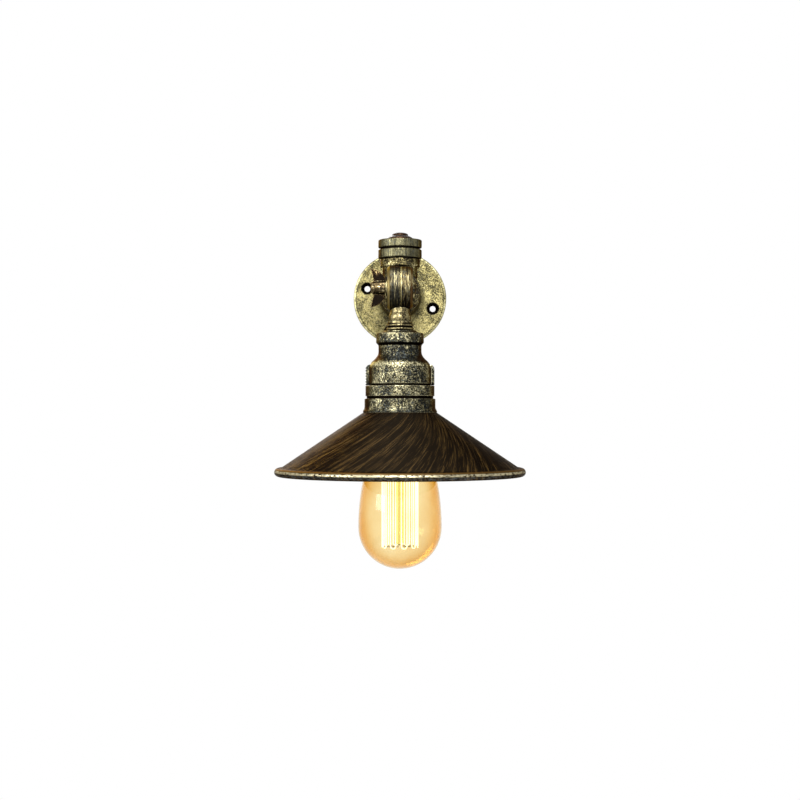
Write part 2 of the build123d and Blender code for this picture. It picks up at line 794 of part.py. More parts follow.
# Lampholder body: a glazed sleeve with a floor, two terminal pockets and two screw holes
pocket_floor = holder_top + holder_pocket_depth
with BuildPart() as lampholder_body:
    turn_on_lamp(
        [
            (0, holder_top),
            (holder_radius - holder_wall / 4, holder_top),
            (holder_radius, holder_top + holder_wall / 4),
            (holder_radius, holder_bottom),
            (holder_cavity_radius + holder_mouth_flare, holder_bottom),
            (holder_cavity_radius, holder_bottom - holder_mouth_flare),
            (holder_cavity_radius, holder_cavity_top),
            (0, holder_cavity_top),
        ]
    )
    with BuildSketch(Plane.XY.offset(-holder_top)) as pockets:
        with Locations((0, -pivot_reach)):
            with GridLocations(2 * terminal_offset, 0, 2, 1):
                Rectangle(terminal_length + 2 * seat_gap, terminal_width + 2 * seat_gap)
    extrude(amount=-holder_pocket_depth, mode=Mode.SUBTRACT)
    with BuildSketch(Plane.XY.offset(-holder_top)) as screw_holes:
        with Locations((0, -pivot_reach)):
            with GridLocations(0, 2 * foot_middle, 1, 2):
                Circle(hanger_screw_radius + thread_clearance)
    extrude(amount=-(hanger_screw_length - hanger_plate_thickness + seat_gap), mode=Mode.SUBTRACT)
    with BuildSketch(Plane.XY.offset(-pocket_floor)) as pin_holes:
        with Locations(
            (terminal_offset - terminal_length / 2 + terminal_pin_radius, -pivot_reach),
            (-terminal_offset - terminal_length / 4, -pivot_reach),
        ):
            Circle(terminal_pin_radius + thread_clearance)
    extrude(amount=-(holder_cavity_top - pocket_floor), mode=Mode.SUBTRACT)
lampholder_body.part.label = "lampholder_body"
export_step(lampholder_body.part, "parts/lampholder_body.step")

# Screws that fix the hanger's feet
with BuildPart() as hanger_screws:
    with BuildSketch(Plane.XY.offset(-holder_top + hanger_plate_thickness)) as heads:
        with Locations((0, -pivot_reach)):
            with GridLocations(0, 2 * foot_middle, 1, 2):
                Circle(hanger_screw_head_radius)
    extrude(amount=hanger_screw_head_height)
    with BuildSketch(Plane.XY.offset(-holder_top + hanger_plate_thickness)) as shanks:
        with Locations((0, -pivot_reach)):
            with GridLocations(0, 2 * foot_middle, 1, 2):
                Circle(hanger_screw_radius)
    extrude(amount=-hanger_screw_length)
hanger_screws.part.label = "hanger_screws"
export_step(hanger_screws.part, "parts/hanger_screws.step")

# Terminals: a block in its pocket, tapped for its screw, with a pin through the floor
for side, pin_place, terminal_name in (
    (1, terminal_offset - terminal_length / 2 + terminal_pin_radius, "live_terminal"),
    (-1, -terminal_offset - terminal_length / 4, "neutral_terminal"),
):
    with BuildPart() as terminal:
        with BuildSketch(Plane.XY.offset(-pocket_floor)) as block:
            with Locations((side * terminal_offset, -pivot_reach)):
                Rectangle(terminal_length, terminal_width)
        extrude(amount=holder_pocket_depth)
        with BuildSketch(Plane.XY.offset(-pocket_floor)) as pin:
            with Locations((pin_place, -pivot_reach)):
                Circle(terminal_pin_radius)
        extrude(amount=-(holder_cavity_top - pocket_floor))
        with BuildSketch(Plane.XY.offset(-holder_top)) as tapping:
            with Locations((side * terminal_offset, -pivot_reach)):
                Circle(terminal_screw_radius + thread_clearance)
        extrude(amount=-(terminal_screw_length + seat_gap), mode=Mode.SUBTRACT)
    terminal.part.label = terminal_name
    export_step(terminal.part, f"parts/{terminal_name}.step")

# Terminal screws
with BuildPart() as terminal_screws:
    with BuildSketch(Plane.XY.offset(-holder_top)) as heads:
        with Locations((0, -pivot_reach)):
            with GridLocations(2 * terminal_offset, 0, 2, 1):
                Circle(terminal_screw_head_radius)
    extrude(amount=terminal_screw_head_height)
    with BuildSketch(Plane.XY.offset(-holder_top)) as shanks:
        with Locations((0, -pivot_reach)):
            with GridLocations(2 * terminal_offset, 0, 2, 1):
                Circle(terminal_screw_radius)
    extrude(amount=-terminal_screw_length)
terminal_screws.part.label = "terminal_screws"
export_step(terminal_screws.part, "parts/terminal_screws.step")

# Screw shell of the lampholder, a rolled sleeve with a flange at its closed end
shell_end = holder_bottom - holder_mouth_flare * 2
shell_flange_inner = contact_reach + contact_flange_gap
with BuildPart() as lampholder_shell:
    turn_on_lamp(
        screw_outline(
            shell_radius,
            screw_depth,
            holder_shell_wall,
            holder_cavity_top + seat_gap / 2,
            shell_end,
        )
    )
    turn_on_lamp(
        tube(
            shell_flange_inner,
            shell_radius - screw_depth,
            holder_cavity_top + seat_gap / 2,
            holder_cavity_top + seat_gap / 2 + holder_shell_wall,
        )
    )
lampholder_shell.part.label = "lampholder_shell"
export_step(lampholder_shell.part, "parts/lampholder_shell.step")

# Springy centre contact under the live pin
with BuildPart() as centre_contact:
    with BuildSketch(lamp_plane.offset(-contact_width / 2)) as tongue:
        contact_top = holder_cavity_top
        foot_start = contact_reach * contact_foot_share
        with BuildLine():
            Polyline(
                (contact_reach, -contact_top),
                (foot_start, -contact_top),
                (contact_reach * contact_tip_share, -contact_drop + contact_thickness),
                (-contact_reach * contact_tip_share, -contact_drop + contact_thickness),
                (-contact_reach * contact_tip_share, -contact_drop),
                (contact_reach * contact_bend_share, -contact_drop),
                (foot_start + contact_thickness, -contact_top - contact_thickness),
                (contact_reach, -contact_top - contact_thickness),
                close=True,
            )
        make_face()
    extrude(amount=contact_width)
centre_contact.part.label = "centre_contact"
export_step(centre_contact.part, "parts/centre_contact.step")

# Collar: a threaded ring on the cup's spigot, with an inner ledge over the shade
collar_ledge_top = spigot_bottom + seat_gap
with BuildPart() as shade_collar:
    turn_on_lamp(edged_tube(shade_hole_radius, collar_radius, collar_top, shade_top, collar_edge))
    turn_on_lamp(tube(0, collar_bore_radius, collar_top - overrun, collar_ledge_top), Mode.SUBTRACT)
shade_collar.part.label = "shade_collar"
export_step(shade_collar.part, "parts/shade_collar.step")

# Shade: one spun sheet, flat under the collar, conical, and rolled round a bead at the rim
bead_middle_radius = shade_rim_radius - bead_radius
bead_middle_drop = shade_top + shade_height - bead_radius
slope_end = (bead_middle_radius, bead_middle_drop - bead_radius * bead_entry_share)
slope = atan2(slope_end[1] - shade_top, slope_end[0] - collar_radius)
with BuildPart() as shade:
    with BuildSketch(lamp_plane) as sheet:
        with BuildLine():
            Polyline(
                (shade_hole_radius, -shade_top),
                (collar_radius, -shade_top),
                (slope_end[0], -slope_end[1]),
                (slope_end[0] - shade_sheet * sin(slope), -slope_end[1] - shade_sheet * cos(slope)),
                (collar_radius - shade_sheet * tan(slope / 2), -shade_top - shade_sheet),
                (shade_hole_radius, -shade_top - shade_sheet),
                close=True,
            )
        make_face()
        with Locations((bead_middle_radius, -bead_middle_drop)):
            Circle(bead_radius)
    revolve(axis=lamp_axis)
shade.part.label = "shade"
export_step(shade.part, "parts/shade.step")

# Ring on the lampholder's skirt that clamps the shade from below
clamp_ring_top = shade_top + shade_sheet
clamp_ring_inner = holder_radius + thread_clearance
with BuildPart() as clamp_ring:
    turn_on_lamp(
        edged_tube(
            clamp_ring_inner,
            clamp_ring_inner + clamp_ring_width,
            clamp_ring_top,
            clamp_ring_top + clamp_ring_height,
            collar_edge,
        )
    )
clamp_ring.part.label = "clamp_ring"
export_step(clamp_ring.part, "parts/clamp_ring.step")

# Bulb: the screw cap, its black insulator and its centre button
button_bottom = bulb_tip_drop + bulb_button_height
insulator_bottom = button_bottom + bulb_insulator_height
cap_wall_radius = screw_crest_radius - screw_depth
with BuildPart() as bulb_shell:
    turn_on_lamp(
        screw_outline(screw_crest_radius, screw_depth, screw_wall, insulator_bottom, bulb_base_drop)
    )
bulb_shell.part.label = "bulb_shell"
export_step(bulb_shell.part, "parts/bulb_shell.step")

with BuildPart() as bulb_insulator:
    turn_on_lamp(
        [
            (0, button_bottom),
            (bulb_button_radius, button_bottom),
            (cap_wall_radius, insulator_bottom),
            (0, insulator_bottom),
        ]
    )
bulb_insulator.part.label = "bulb_insulator"
export_step(bulb_insulator.part, "parts/bulb_insulator.step")

with BuildPart() as bulb_button:
    turn_on_lamp(
        [
            (0, bulb_tip_drop),
            (bulb_button_radius / 2, bulb_tip_drop),
            (bulb_button_radius, button_bottom),
            (0, button_bottom),
        ]
    )
bulb_button.part.label = "bulb_button"
export_step(bulb_button.part, "parts/bulb_button.step")

# Glass envelope: a neck in the screw cap, long shoulders and a round bottom
glass_seat_radius = cap_wall_radius - screw_wall - seat_gap / 2
glass_neck_drop = bulb_base_drop + glass_neck_height
equator_drop = glass_neck_drop + glass_shoulder_length


def glass_outline(skin, start):
    """Gives the closed section of the bulb's glass, its surface moved inwards by skin."""
    waist = glass_seat_radius + 2 * glass_neck_step
    round_part = glass_radius - skin
    Line((0, -start), (glass_seat_radius - skin, -start))
    Line((glass_seat_radius - skin, -start), (glass_seat_radius - skin, -bulb_base_drop - seat_gap))
    Line((glass_seat_radius - skin, -bulb_base_drop - seat_gap), (waist - skin, -glass_neck_drop))
    TangentArc((round_part, -equator_drop), (waist - skin, -glass_neck_drop), tangent=(0, 1))
    ThreePointArc(
        (round_part, -equator_drop),
        (round_part * cos(pi / 4), -equator_drop - round_part * sin(pi / 4)),
        (0, -equator_drop - round_part),
    )
    Line((0, -equator_drop - round_part), (0, -start))


with BuildPart() as bulb_glass:
    with BuildSketch(lamp_plane) as outside:
        with BuildLine():
            glass_outline(0, bulb_base_drop - glass_seat_depth)
        make_face()
    revolve(axis=lamp_axis)
    with BuildSketch(lamp_plane) as inside:
        with BuildLine():
            glass_outline(glass_thickness, bulb_base_drop - glass_seat_depth - overrun)
        make_face()
    revolve(axis=lamp_axis, mode=Mode.SUBTRACT)
bulb_glass.part.label = "bulb_glass"
export_step(bulb_glass.part, "parts/bulb_glass.step")

# Glass stem: a flare sealed in the neck, and the rod that carries the filament
stem_seat_radius = glass_seat_radius - glass_thickness - stem_flare_gap
stem_top = bulb_base_drop - glass_seat_depth
stem_bottom = stem_top + stem_rod_length
with BuildPart() as bulb_stem:
    turn_on_lamp(
        [
            (0, stem_top),
            (stem_seat_radius, stem_top),
            (stem_seat_radius, stem_top + stem_flare_height / 3),
            (stem_rod_radius, stem_top + stem_flare_height * 2),
            (stem_rod_radius, stem_bottom - stem_rod_radius / 2),
            (stem_rod_radius / 2, stem_bottom),
            (0, stem_bottom),
        ]
    )
bulb_stem.part.label = "bulb_stem"
export_step(bulb_stem.part, "parts/bulb_stem.step")

# Filament: one wire that runs up and down the cage, with a half turn at each end
filament_top = bulb_base_drop + filament_start
filament_bottom = filament_top + filament_length
strand_step = 2 * pi / filament_strands
bend_radius = filament_cage_radius * sin(strand_step / 2)


def cage_point(place, drop, radius):
    """Gives a point of the filament cage, counted in strands round it, at a drop and a radius."""
    angle = (place + strand_phase_share) * strand_step - pi / 2
    return (radius * cos(angle), -pivot_reach + radius * sin(angle), -drop)


with BuildPart() as bulb_filament:
    with BuildLine() as hairpins:
        for strand in range(filament_strands):
            ends = [filament_top, filament_bottom] if strand % 2 == 0 else [filament_bottom, filament_top]
            Line(
                cage_point(strand, ends[0], filament_cage_radius),
                cage_point(strand, ends[1], filament_cage_radius),
            )
            if strand < filament_strands - 1:
                outward = bend_radius if strand % 2 == 0 else -bend_radius
                bend_reach = filament_cage_radius * cos(strand_step / 2)
                ThreePointArc(
                    cage_point(strand, ends[1], filament_cage_radius),
                    cage_point(strand + 1 / 2, ends[1] + outward, bend_reach),
                    cage_point(strand + 1, ends[1], filament_cage_radius),
                )
    with BuildSketch(Plane(origin=hairpins.line @ 0, z_dir=hairpins.line % 0)) as wire_section:
        Circle(filament_wire_radius)
    sweep(path=hairpins.line)
bulb_filament.part.label = "bulb_filament"
export_step(bulb_filament.part, "parts/bulb_filament.step")
print("filament, least gap between strands", round(2 * bend_radius - 2 * filament_wire_radius, 2))

# Wires that hook the filament's bends to the stem, and the two wires that feed it
hook_offset = filament_wire_radius + support_wire_radius + support_gap
top_hook_drop = filament_top - bend_radius + hook_offset
bottom_hook_drop = filament_bottom + bend_radius - hook_offset
hook_reach = filament_cage_radius + filament_wire_radius * 2
with BuildPart() as filament_hooks:
    for strand in range(filament_strands - 1):
        hook_drop = bottom_hook_drop if strand % 2 == 0 else top_hook_drop
        rod(
            cage_point(strand + 1 / 2, hook_drop, stem_rod_radius + support_gap),
            cage_point(strand + 1 / 2, hook_drop, hook_reach),
            support_wire_radius,
        )
filament_hooks.part.label = "filament_hooks"
export_step(filament_hooks.part, "parts/filament_hooks.step")

with BuildPart() as bulb_feed_wires:
    feed_drop = filament_top - filament_start / 4
    for strand in (0, filament_strands - 1):
        rod(
            cage_point(strand, feed_drop, stem_rod_radius + stem_flare_gap + support_wire_radius),
            cage_point(strand, filament_top - hook_offset, filament_cage_radius),
            support_wire_radius,
        )
bulb_feed_wires.part.label = "bulb_feed_wires"
export_step(bulb_feed_wires.part, "parts/bulb_feed_wires.step")

# Leads in the arm: from the wall, through the tee and the stem, into the hollow of the swivel
with BuildPart() as arm_leads:
    for side in (1, -1):
        height = side * lead_spacing / 2
        lead(
            [
                (0, -lead_back, height),
                (0, -(tee_front_reach - pipe_engagement), height),
                (wire_way_offset, -stem_collar_front, height),
                (wire_way_offset, -(pivot_reach - boss_radius - knuckle_floor), height),
            ],
            lead_bend * 4,
        )
arm_leads.part.label = "arm_leads"
export_step(arm_leads.part, "parts/arm_leads.step")

# Leads in the head: from the hollow of the swivel, down the neck and the nipple, to the terminals
with BuildPart() as head_leads:
    for side in (1, -1):
        depth = -pivot_reach + side * lead_spacing / 2
        lead_floor = -holder_top + lead_radius + seat_gap
        screw_edge = terminal_offset - terminal_screw_head_radius - seat_gap
        lead(
            [
                (-wire_way_offset, depth, -(boss_radius + knuckle_floor)),
                (-wire_way_offset, depth, -(neck_drop - neck_length / 3)),
                (0, depth, -hanger_nipple_top),
                (0, depth, lead_floor),
                (side * screw_edge, depth, lead_floor),
            ],
            lead_bend,
        )
head_leads.part.label = "head_leads"
export_step(head_leads.part, "parts/head_leads.step")

print("pivot reach", pivot_reach, "cup top", cup_top_drop, "shade top", round(shade_top, 2))
print("shade slope", round(degrees(slope), 2), "bulb bottom", round(equator_drop + glass_radius, 2))
print("bead middle", round(bead_middle_radius, 2), round(bead_middle_drop, 2))
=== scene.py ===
"""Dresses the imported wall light: modelled castings, a spun shade, a glass bulb and aged finishes.

Everything is in the row frame, in metres. Sizes in the classes are millimetres, as a reach from the
wall, a rise above the swivel pin or a drop below it.
"""

import json
import logging
import math
from collections.abc import Callable
from dataclasses import dataclass, replace
from enum import Enum

import bpy
from bpy.types import Material, Node, NodeSocket, NodeTree, Object
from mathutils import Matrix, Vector


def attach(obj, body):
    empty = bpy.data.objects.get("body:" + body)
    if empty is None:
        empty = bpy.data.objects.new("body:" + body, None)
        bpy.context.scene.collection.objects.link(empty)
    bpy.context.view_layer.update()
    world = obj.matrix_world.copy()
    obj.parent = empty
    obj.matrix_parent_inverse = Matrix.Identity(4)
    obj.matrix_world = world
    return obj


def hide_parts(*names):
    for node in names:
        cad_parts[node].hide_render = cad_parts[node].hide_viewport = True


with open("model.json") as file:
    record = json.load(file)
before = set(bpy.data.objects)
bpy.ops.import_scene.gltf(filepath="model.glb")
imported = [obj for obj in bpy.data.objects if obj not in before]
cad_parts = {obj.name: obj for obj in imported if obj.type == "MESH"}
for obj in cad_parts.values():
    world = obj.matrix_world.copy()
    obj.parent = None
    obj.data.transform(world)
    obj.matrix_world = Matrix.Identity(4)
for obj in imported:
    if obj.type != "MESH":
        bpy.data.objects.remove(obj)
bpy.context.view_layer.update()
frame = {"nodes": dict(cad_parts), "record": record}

LOG = logging.getLogger("wall_light")
MM = 0.001
WELD = MM / 500
TEE_REACH = 52.0
PIN_REACH = 108.0
PIPE_THREAD = 10.75
UNTURNED_RADIUS = 50.0

Point = tuple[float, float]
Corner = tuple[float, float, float]
Place = tuple[float, float, float]
Colour = tuple[float, float, float, float]


class Body(Enum):
    """The rigid bodies that modelled pieces ride on."""

    ARM = "wall_arm"
    HEAD = "lamp_head"
    NUT = "nut"
    BULB = "bulb"


class Join(Enum):
    """What a second piece does to a first."""

    CUT = "DIFFERENCE"
    FUSE = "UNION"


class Lathe(Enum):
    """The axes that pieces are turned on: a centre in millimetres and a direction."""

    WALL = ((0.0, 0.0, 0.0), (0.0, 1.0, 0.0))
    BRANCH = ((0.0, -TEE_REACH, 0.0), (0.0, 0.0, 1.0))
    LAMP = ((0.0, -PIN_REACH, 0.0), (0.0, 0.0, -1.0))
    PIN = ((0.0, -PIN_REACH, 0.0), (1.0, 0.0, 0.0))

    @property
    def centre(self) -> Vector:
        """The axis's centre, in metres."""
        return Vector(self.value[0]) * MM

    @property
    def direction(self) -> Vector:
        """The way that an outline's second figure runs."""
        return Vector(self.value[1])

    def place(self, radius: float, along: float) -> Vector:
        """Puts a point of an outline, in millimetres, in the row frame, in metres."""
        if self is Lathe.WALL:
            return Vector((radius, -along, 0.0)) * MM
        if self is Lathe.PIN:
            return self.centre + Vector((along, 0.0, radius)) * MM
        return self.centre + (Vector((radius, 0.0, 0.0)) + self.direction * along) * MM


def srgb(*levels: int) -> Colour:
    """Turns a screen's red, green and blue, 0 to 255, into the linear colour that a shader needs."""
    shares = [level / 255 for level in levels]
    return (*(c / 12.92 if c <= 0.04045 else ((c + 0.055) / 1.055) ** 2.4 for c in shares), 1.0)


BROWN_RIM = (0.41, 0.36, 0.28, 1.0)
GREY_RIM = (0.4, 0.37, 0.34, 1.0)
# The brown of a painted reflection where a surface turns away from the eye.
PAINTED_BROWN_REFLECTION = srgb(56, 43, 26)
STEEL_GREY = srgb(92, 98, 96)
# Near-black for painted shade in corners and grooves, and for dark parting lines.
SHADE_AND_SEAM_DARK = srgb(12, 9, 6)


def deselect() -> None:
    """Leaves object mode with nothing selected."""
    if bpy.context.object and bpy.context.object.mode != "OBJECT":
        bpy.ops.object.mode_set(mode="OBJECT")
    bpy.ops.object.select_all(action="DESELECT")


def pick(piece: Object) -> None:
    """Selects one piece alone and makes it active."""
    deselect()
    piece.select_set(True)
    bpy.context.view_layer.objects.active = piece


def settle(piece: Object, name: str) -> Object:
    """Names a piece and moves its place into its mesh.

    Args:
        piece: The piece.
        name: Its new name.

    Returns:
        The same piece.
    """
    pick(piece)
    bpy.ops.object.transform_apply(location=True, rotation=True, scale=True)
    piece.name = name
    piece.data.name = name
    return piece


def softened(corners: list[Corner], facets: int = 5) -> list[Point]:
    """Rounds the corners of a closed outline.

    Args:
        corners: Radius, place along the axis and rounding of each corner.
        facets: How many short runs make up each rounded corner.

    Returns:
        The points of the rounded outline.
    """
    points: list[Point] = []
    for index, (radius, along, rounding) in enumerate(corners):
        here = Vector((radius, along))
        before = Vector(corners[index - 1][:2]) - here
        after = Vector(corners[(index + 1) % len(corners)][:2]) - here
        reach = min(rounding, 0.48 * before.length, 0.48 * after.length)
        if reach <= 0:
            points.append((radius, along))
            continue
        start, end = here + before.normalized() * reach, here + after.normalized() * reach
        for step in range(facets + 1):
            share = step / facets
            spot = start * (1 - share) ** 2 + here * 2 * share * (1 - share) + end * share ** 2
            points.append((spot.x, spot.y))
    return points


def divided(points: list[Point], longest: float) -> list[Point]:
    """Splits the long runs of a closed outline, so that its mesh is even.

    Args:
        points: The outline's points.
        longest: The longest run to leave, in millimetres.

    Returns:
        The points with the new ones between them.
    """
    result: list[Point] = []
    for index, point in enumerate(points):
        here, there = Vector(point), Vector(points[(index + 1) % len(points)])
        on_axis = max(here.x, there.x) <= 0.001
        parts = 1 if on_axis else max(1, math.ceil((there - here).length / longest))
        for part in range(parts):
            spot = here.lerp(there, part / parts)
            result.append((spot.x, spot.y))
    return result


def dome(radius: float, base: float, height: float, steps: int, wall: float = 0.0) -> list[Point]:
    """Gives a dome's line from its edge to its crown.

    Args:
        radius: Its radius.
        base: Its foot's place along the axis.
        height: Its height.
        steps: How many runs make it up.
        wall: The share of its height that is a straight wall below the line.

    Returns:
        The points of the line.
    """
    points: list[Point] = []
    for step in range(steps + 1):
        angle = math.pi / 2 * step / steps
        points.append((radius * math.cos(angle), base + height * (wall + (1 - wall) * math.sin(angle))))
    points[-1] = (0.0, base + height)
    return points


def traced(places: list[Vector]) -> Object:
    """Draws a closed wire, starting from one vertex that is extruded along it.

    Args:
        places: The wire's corners, in metres.

    Returns:
        The wire, in edit mode and selected all over.
    """
    deselect()
    bpy.ops.mesh.primitive_plane_add(size=MM, location=(0, 0, 0))
    bpy.ops.object.mode_set(mode="EDIT")
    bpy.ops.mesh.select_all(action="SELECT")
    bpy.ops.mesh.merge(type="CENTER")
    bpy.ops.transform.translate(value=places[0])
    for here, there in zip(places, places[1:] + places[:1]):
        bpy.ops.mesh.extrude_region_move(TRANSFORM_OT_translate={"value": there - here})
    bpy.ops.mesh.select_all(action="SELECT")
    return bpy.context.object


def turned(name: str, lathe: Lathe, points: list[Point], steps: int = 120) -> Object:
    """Turns a closed outline into a solid.

    Args:
        name: The piece's name.
        lathe: The axis that it is turned on.
        points: Radius and place along the axis of each point, in millimetres.
        steps: How many facets it has around.

    Returns:
        The turned piece.
    """
    piece = traced([lathe.place(*point) for point in points])
    bpy.ops.mesh.spin(steps=steps, angle=math.tau, center=lathe.centre, axis=lathe.direction)
    bpy.ops.mesh.select_all(action="SELECT")
    bpy.ops.mesh.remove_doubles(threshold=WELD)
    bpy.ops.mesh.dissolve_degenerate(threshold=WELD / 2)
    bpy.ops.mesh.normals_make_consistent(inside=False)
    bpy.ops.object.mode_set(mode="OBJECT")
    return settle(piece, name)


def rounded(name: str, lathe: Lathe, corners: list[Corner], steps: int, longest: float = math.inf) -> Object:
    """Turns an outline with rounded corners, its runs no longer than the longest given."""
    return turned(name, lathe, divided(softened(corners), longest), steps)


def rod(lathe: Lathe, radius: float, start: float, end: float, steps: int = 96) -> Object:
    """Turns a plain rod, to build on or to cut with."""
    return turned("rod", lathe, [(0, start), (radius, start), (radius, end), (0, end)], steps)


def joined(name: str, pieces: list[Object]) -> Object:
    """Joins pieces into one object.

    Args:
        name: The name of the whole.
        pieces: The pieces, which are used up.

    Returns:
        The joined piece.
    """
    pick(pieces[0])
    for piece in pieces:
        piece.select_set(True)
    bpy.ops.object.join()
    return settle(bpy.context.object, name)


def modify(piece: Object, kind: str, **settings: object) -> None:
    """Adds one modifier to a piece and applies it.

    Args:
        piece: The piece.
        kind: The modifier's type.
        **settings: Its settings.
    """
    pick(piece)
    modifier = piece.modifiers.new(kind.title(), kind)
    for key, value in settings.items():
        setattr(modifier, key, value)
    bpy.ops.object.modifier_apply(modifier=modifier.name)


def combined(piece: Object, other: Object, join: Join) -> Object:
    """Cuts a second piece out of a first, or fuses it on.

    Args:
        piece: The piece that stays.
        other: The second piece, which is used up.
        join: What the second piece does.

    Returns:
        The piece that stays.
    """
    modify(piece, "BOOLEAN", operation=join.value, object=other, solver="EXACT")
    bpy.data.objects.remove(other, do_unlink=True)
    return piece


def prism(name: str, points: list[Point], thickness: float, bevel: float) -> Object:
    """Extrudes a closed outline that lies across the lamp, and bevels it.

    Args:
        name: The piece's name.
        points: The place along X and the rise of each point, in millimetres.
        thickness: Its depth from front to back, in millimetres.
        bevel: The width of its bevelled edges, in millimetres.

    Returns:
        The prism.
    """
    front = -PIN_REACH - thickness / 2
    piece = traced([Vector((along, front, rise)) * MM for along, rise in points])
    bpy.ops.mesh.remove_doubles(threshold=WELD)
    bpy.ops.mesh.edge_face_add()
    bpy.ops.mesh.extrude_region_move(TRANSFORM_OT_translate={"value": (0, thickness * MM, 0)})
    bpy.ops.mesh.select_all(action="SELECT")
    bpy.ops.mesh.normals_make_consistent(inside=False)
    bpy.ops.object.mode_set(mode="OBJECT")
    modify(piece, "BEVEL", width=bevel * MM, segments=3, limit_method="ANGLE", angle_limit=math.radians(50))
    return settle(piece, name)


def cast(piece: Object, voxel: float, passes: int) -> None:
    """Fuses a piece's parts into one casting, of faces of the given millimetres, and smooths its skin."""
    modify(piece, "REMESH", mode="VOXEL", voxel_size=voxel * MM, use_smooth_shade=True)
    modify(piece, "SMOOTH", factor=0.5, iterations=passes)


def rippled(piece: Object, swell: float, wave: float) -> None:
    """Makes a casting's skin slightly uneven.

    Args:
        piece: The piece.
        swell: How far the skin wanders in and out, in millimetres.
        wave: The size of its waves, in millimetres.
    """
    waves = bpy.data.textures.new(piece.name + "_skin", "CLOUDS")
    waves.noise_scale = wave * MM
    waves.noise_depth = 2
    modify(piece, "DISPLACE", texture=waves, texture_coords="LOCAL", mid_level=0.5, strength=swell * MM)


class Nodes:
    """Adds nodes to one tree."""

    def __init__(self, tree: NodeTree) -> None:
        """Takes on a tree."""
        self.tree = tree

    def feed(self, socket: NodeSocket, value: object) -> None:
        """Links a socket, or gives it a plain value.

        Args:
            socket: The input to feed.
            value: A socket, number or colour.
        """
        if isinstance(value, NodeSocket):
            self.tree.links.new(value, socket)
        else:
            socket.default_value = value

    def add(self, kind: str, feeds: dict[int | str, object] | None = None, **settings: object) -> Node:
        """Adds a node.

        Args:
            kind: Its type.
            feeds: A socket, number or colour for each of its inputs that needs one.
            **settings: Its settings.

        Returns:
            The node.
        """
        node = self.tree.nodes.new(kind)
        for key, value in settings.items():
            setattr(node, key, value)
        for key, value in (feeds or {}).items():
            self.feed(node.inputs[key], value)
        return node

    def math(self, operation: str, *values: object) -> NodeSocket:
        """Works out a sum of sockets and numbers."""
        return self.add("ShaderNodeMath", dict(enumerate(values)), operation=operation).outputs[0]

    def times(self, first: object, second: object) -> NodeSocket:
        """Multiplies two values."""
        return self.math("MULTIPLY", first, second)

    def plus(self, first: object, second: object) -> NodeSocket:
        """Adds two values."""
        return self.math("ADD", first, second)

    def larger(self, first: object, second: object) -> NodeSocket:
        """Takes the larger of two values."""
        return self.math("MAXIMUM", first, second)

    def weighed(self, first: object, second: object, share: float) -> NodeSocket:
        """Mixes two values, with the given share of the second."""
        return self.plus(self.times(first, 1 - share), self.times(second, share))

    def split(self, vector: NodeSocket) -> dict[str, NodeSocket]:
        """Splits a vector into its X, Y and Z."""
        node = self.add("ShaderNodeSeparateXYZ", {0: vector})
        return {socket.name: socket for socket in node.outputs}

    def span(self, value: NodeSocket, low: float, high: float, top: float = 1.0) -> NodeSocket:
        """Eases a value from 0 at low to top at high."""
        feeds = dict(enumerate((value, low, high, 0.0, top)))
        return self.add("ShaderNodeMapRange", feeds, interpolation_type="SMOOTHSTEP", clamp=True).outputs[0]


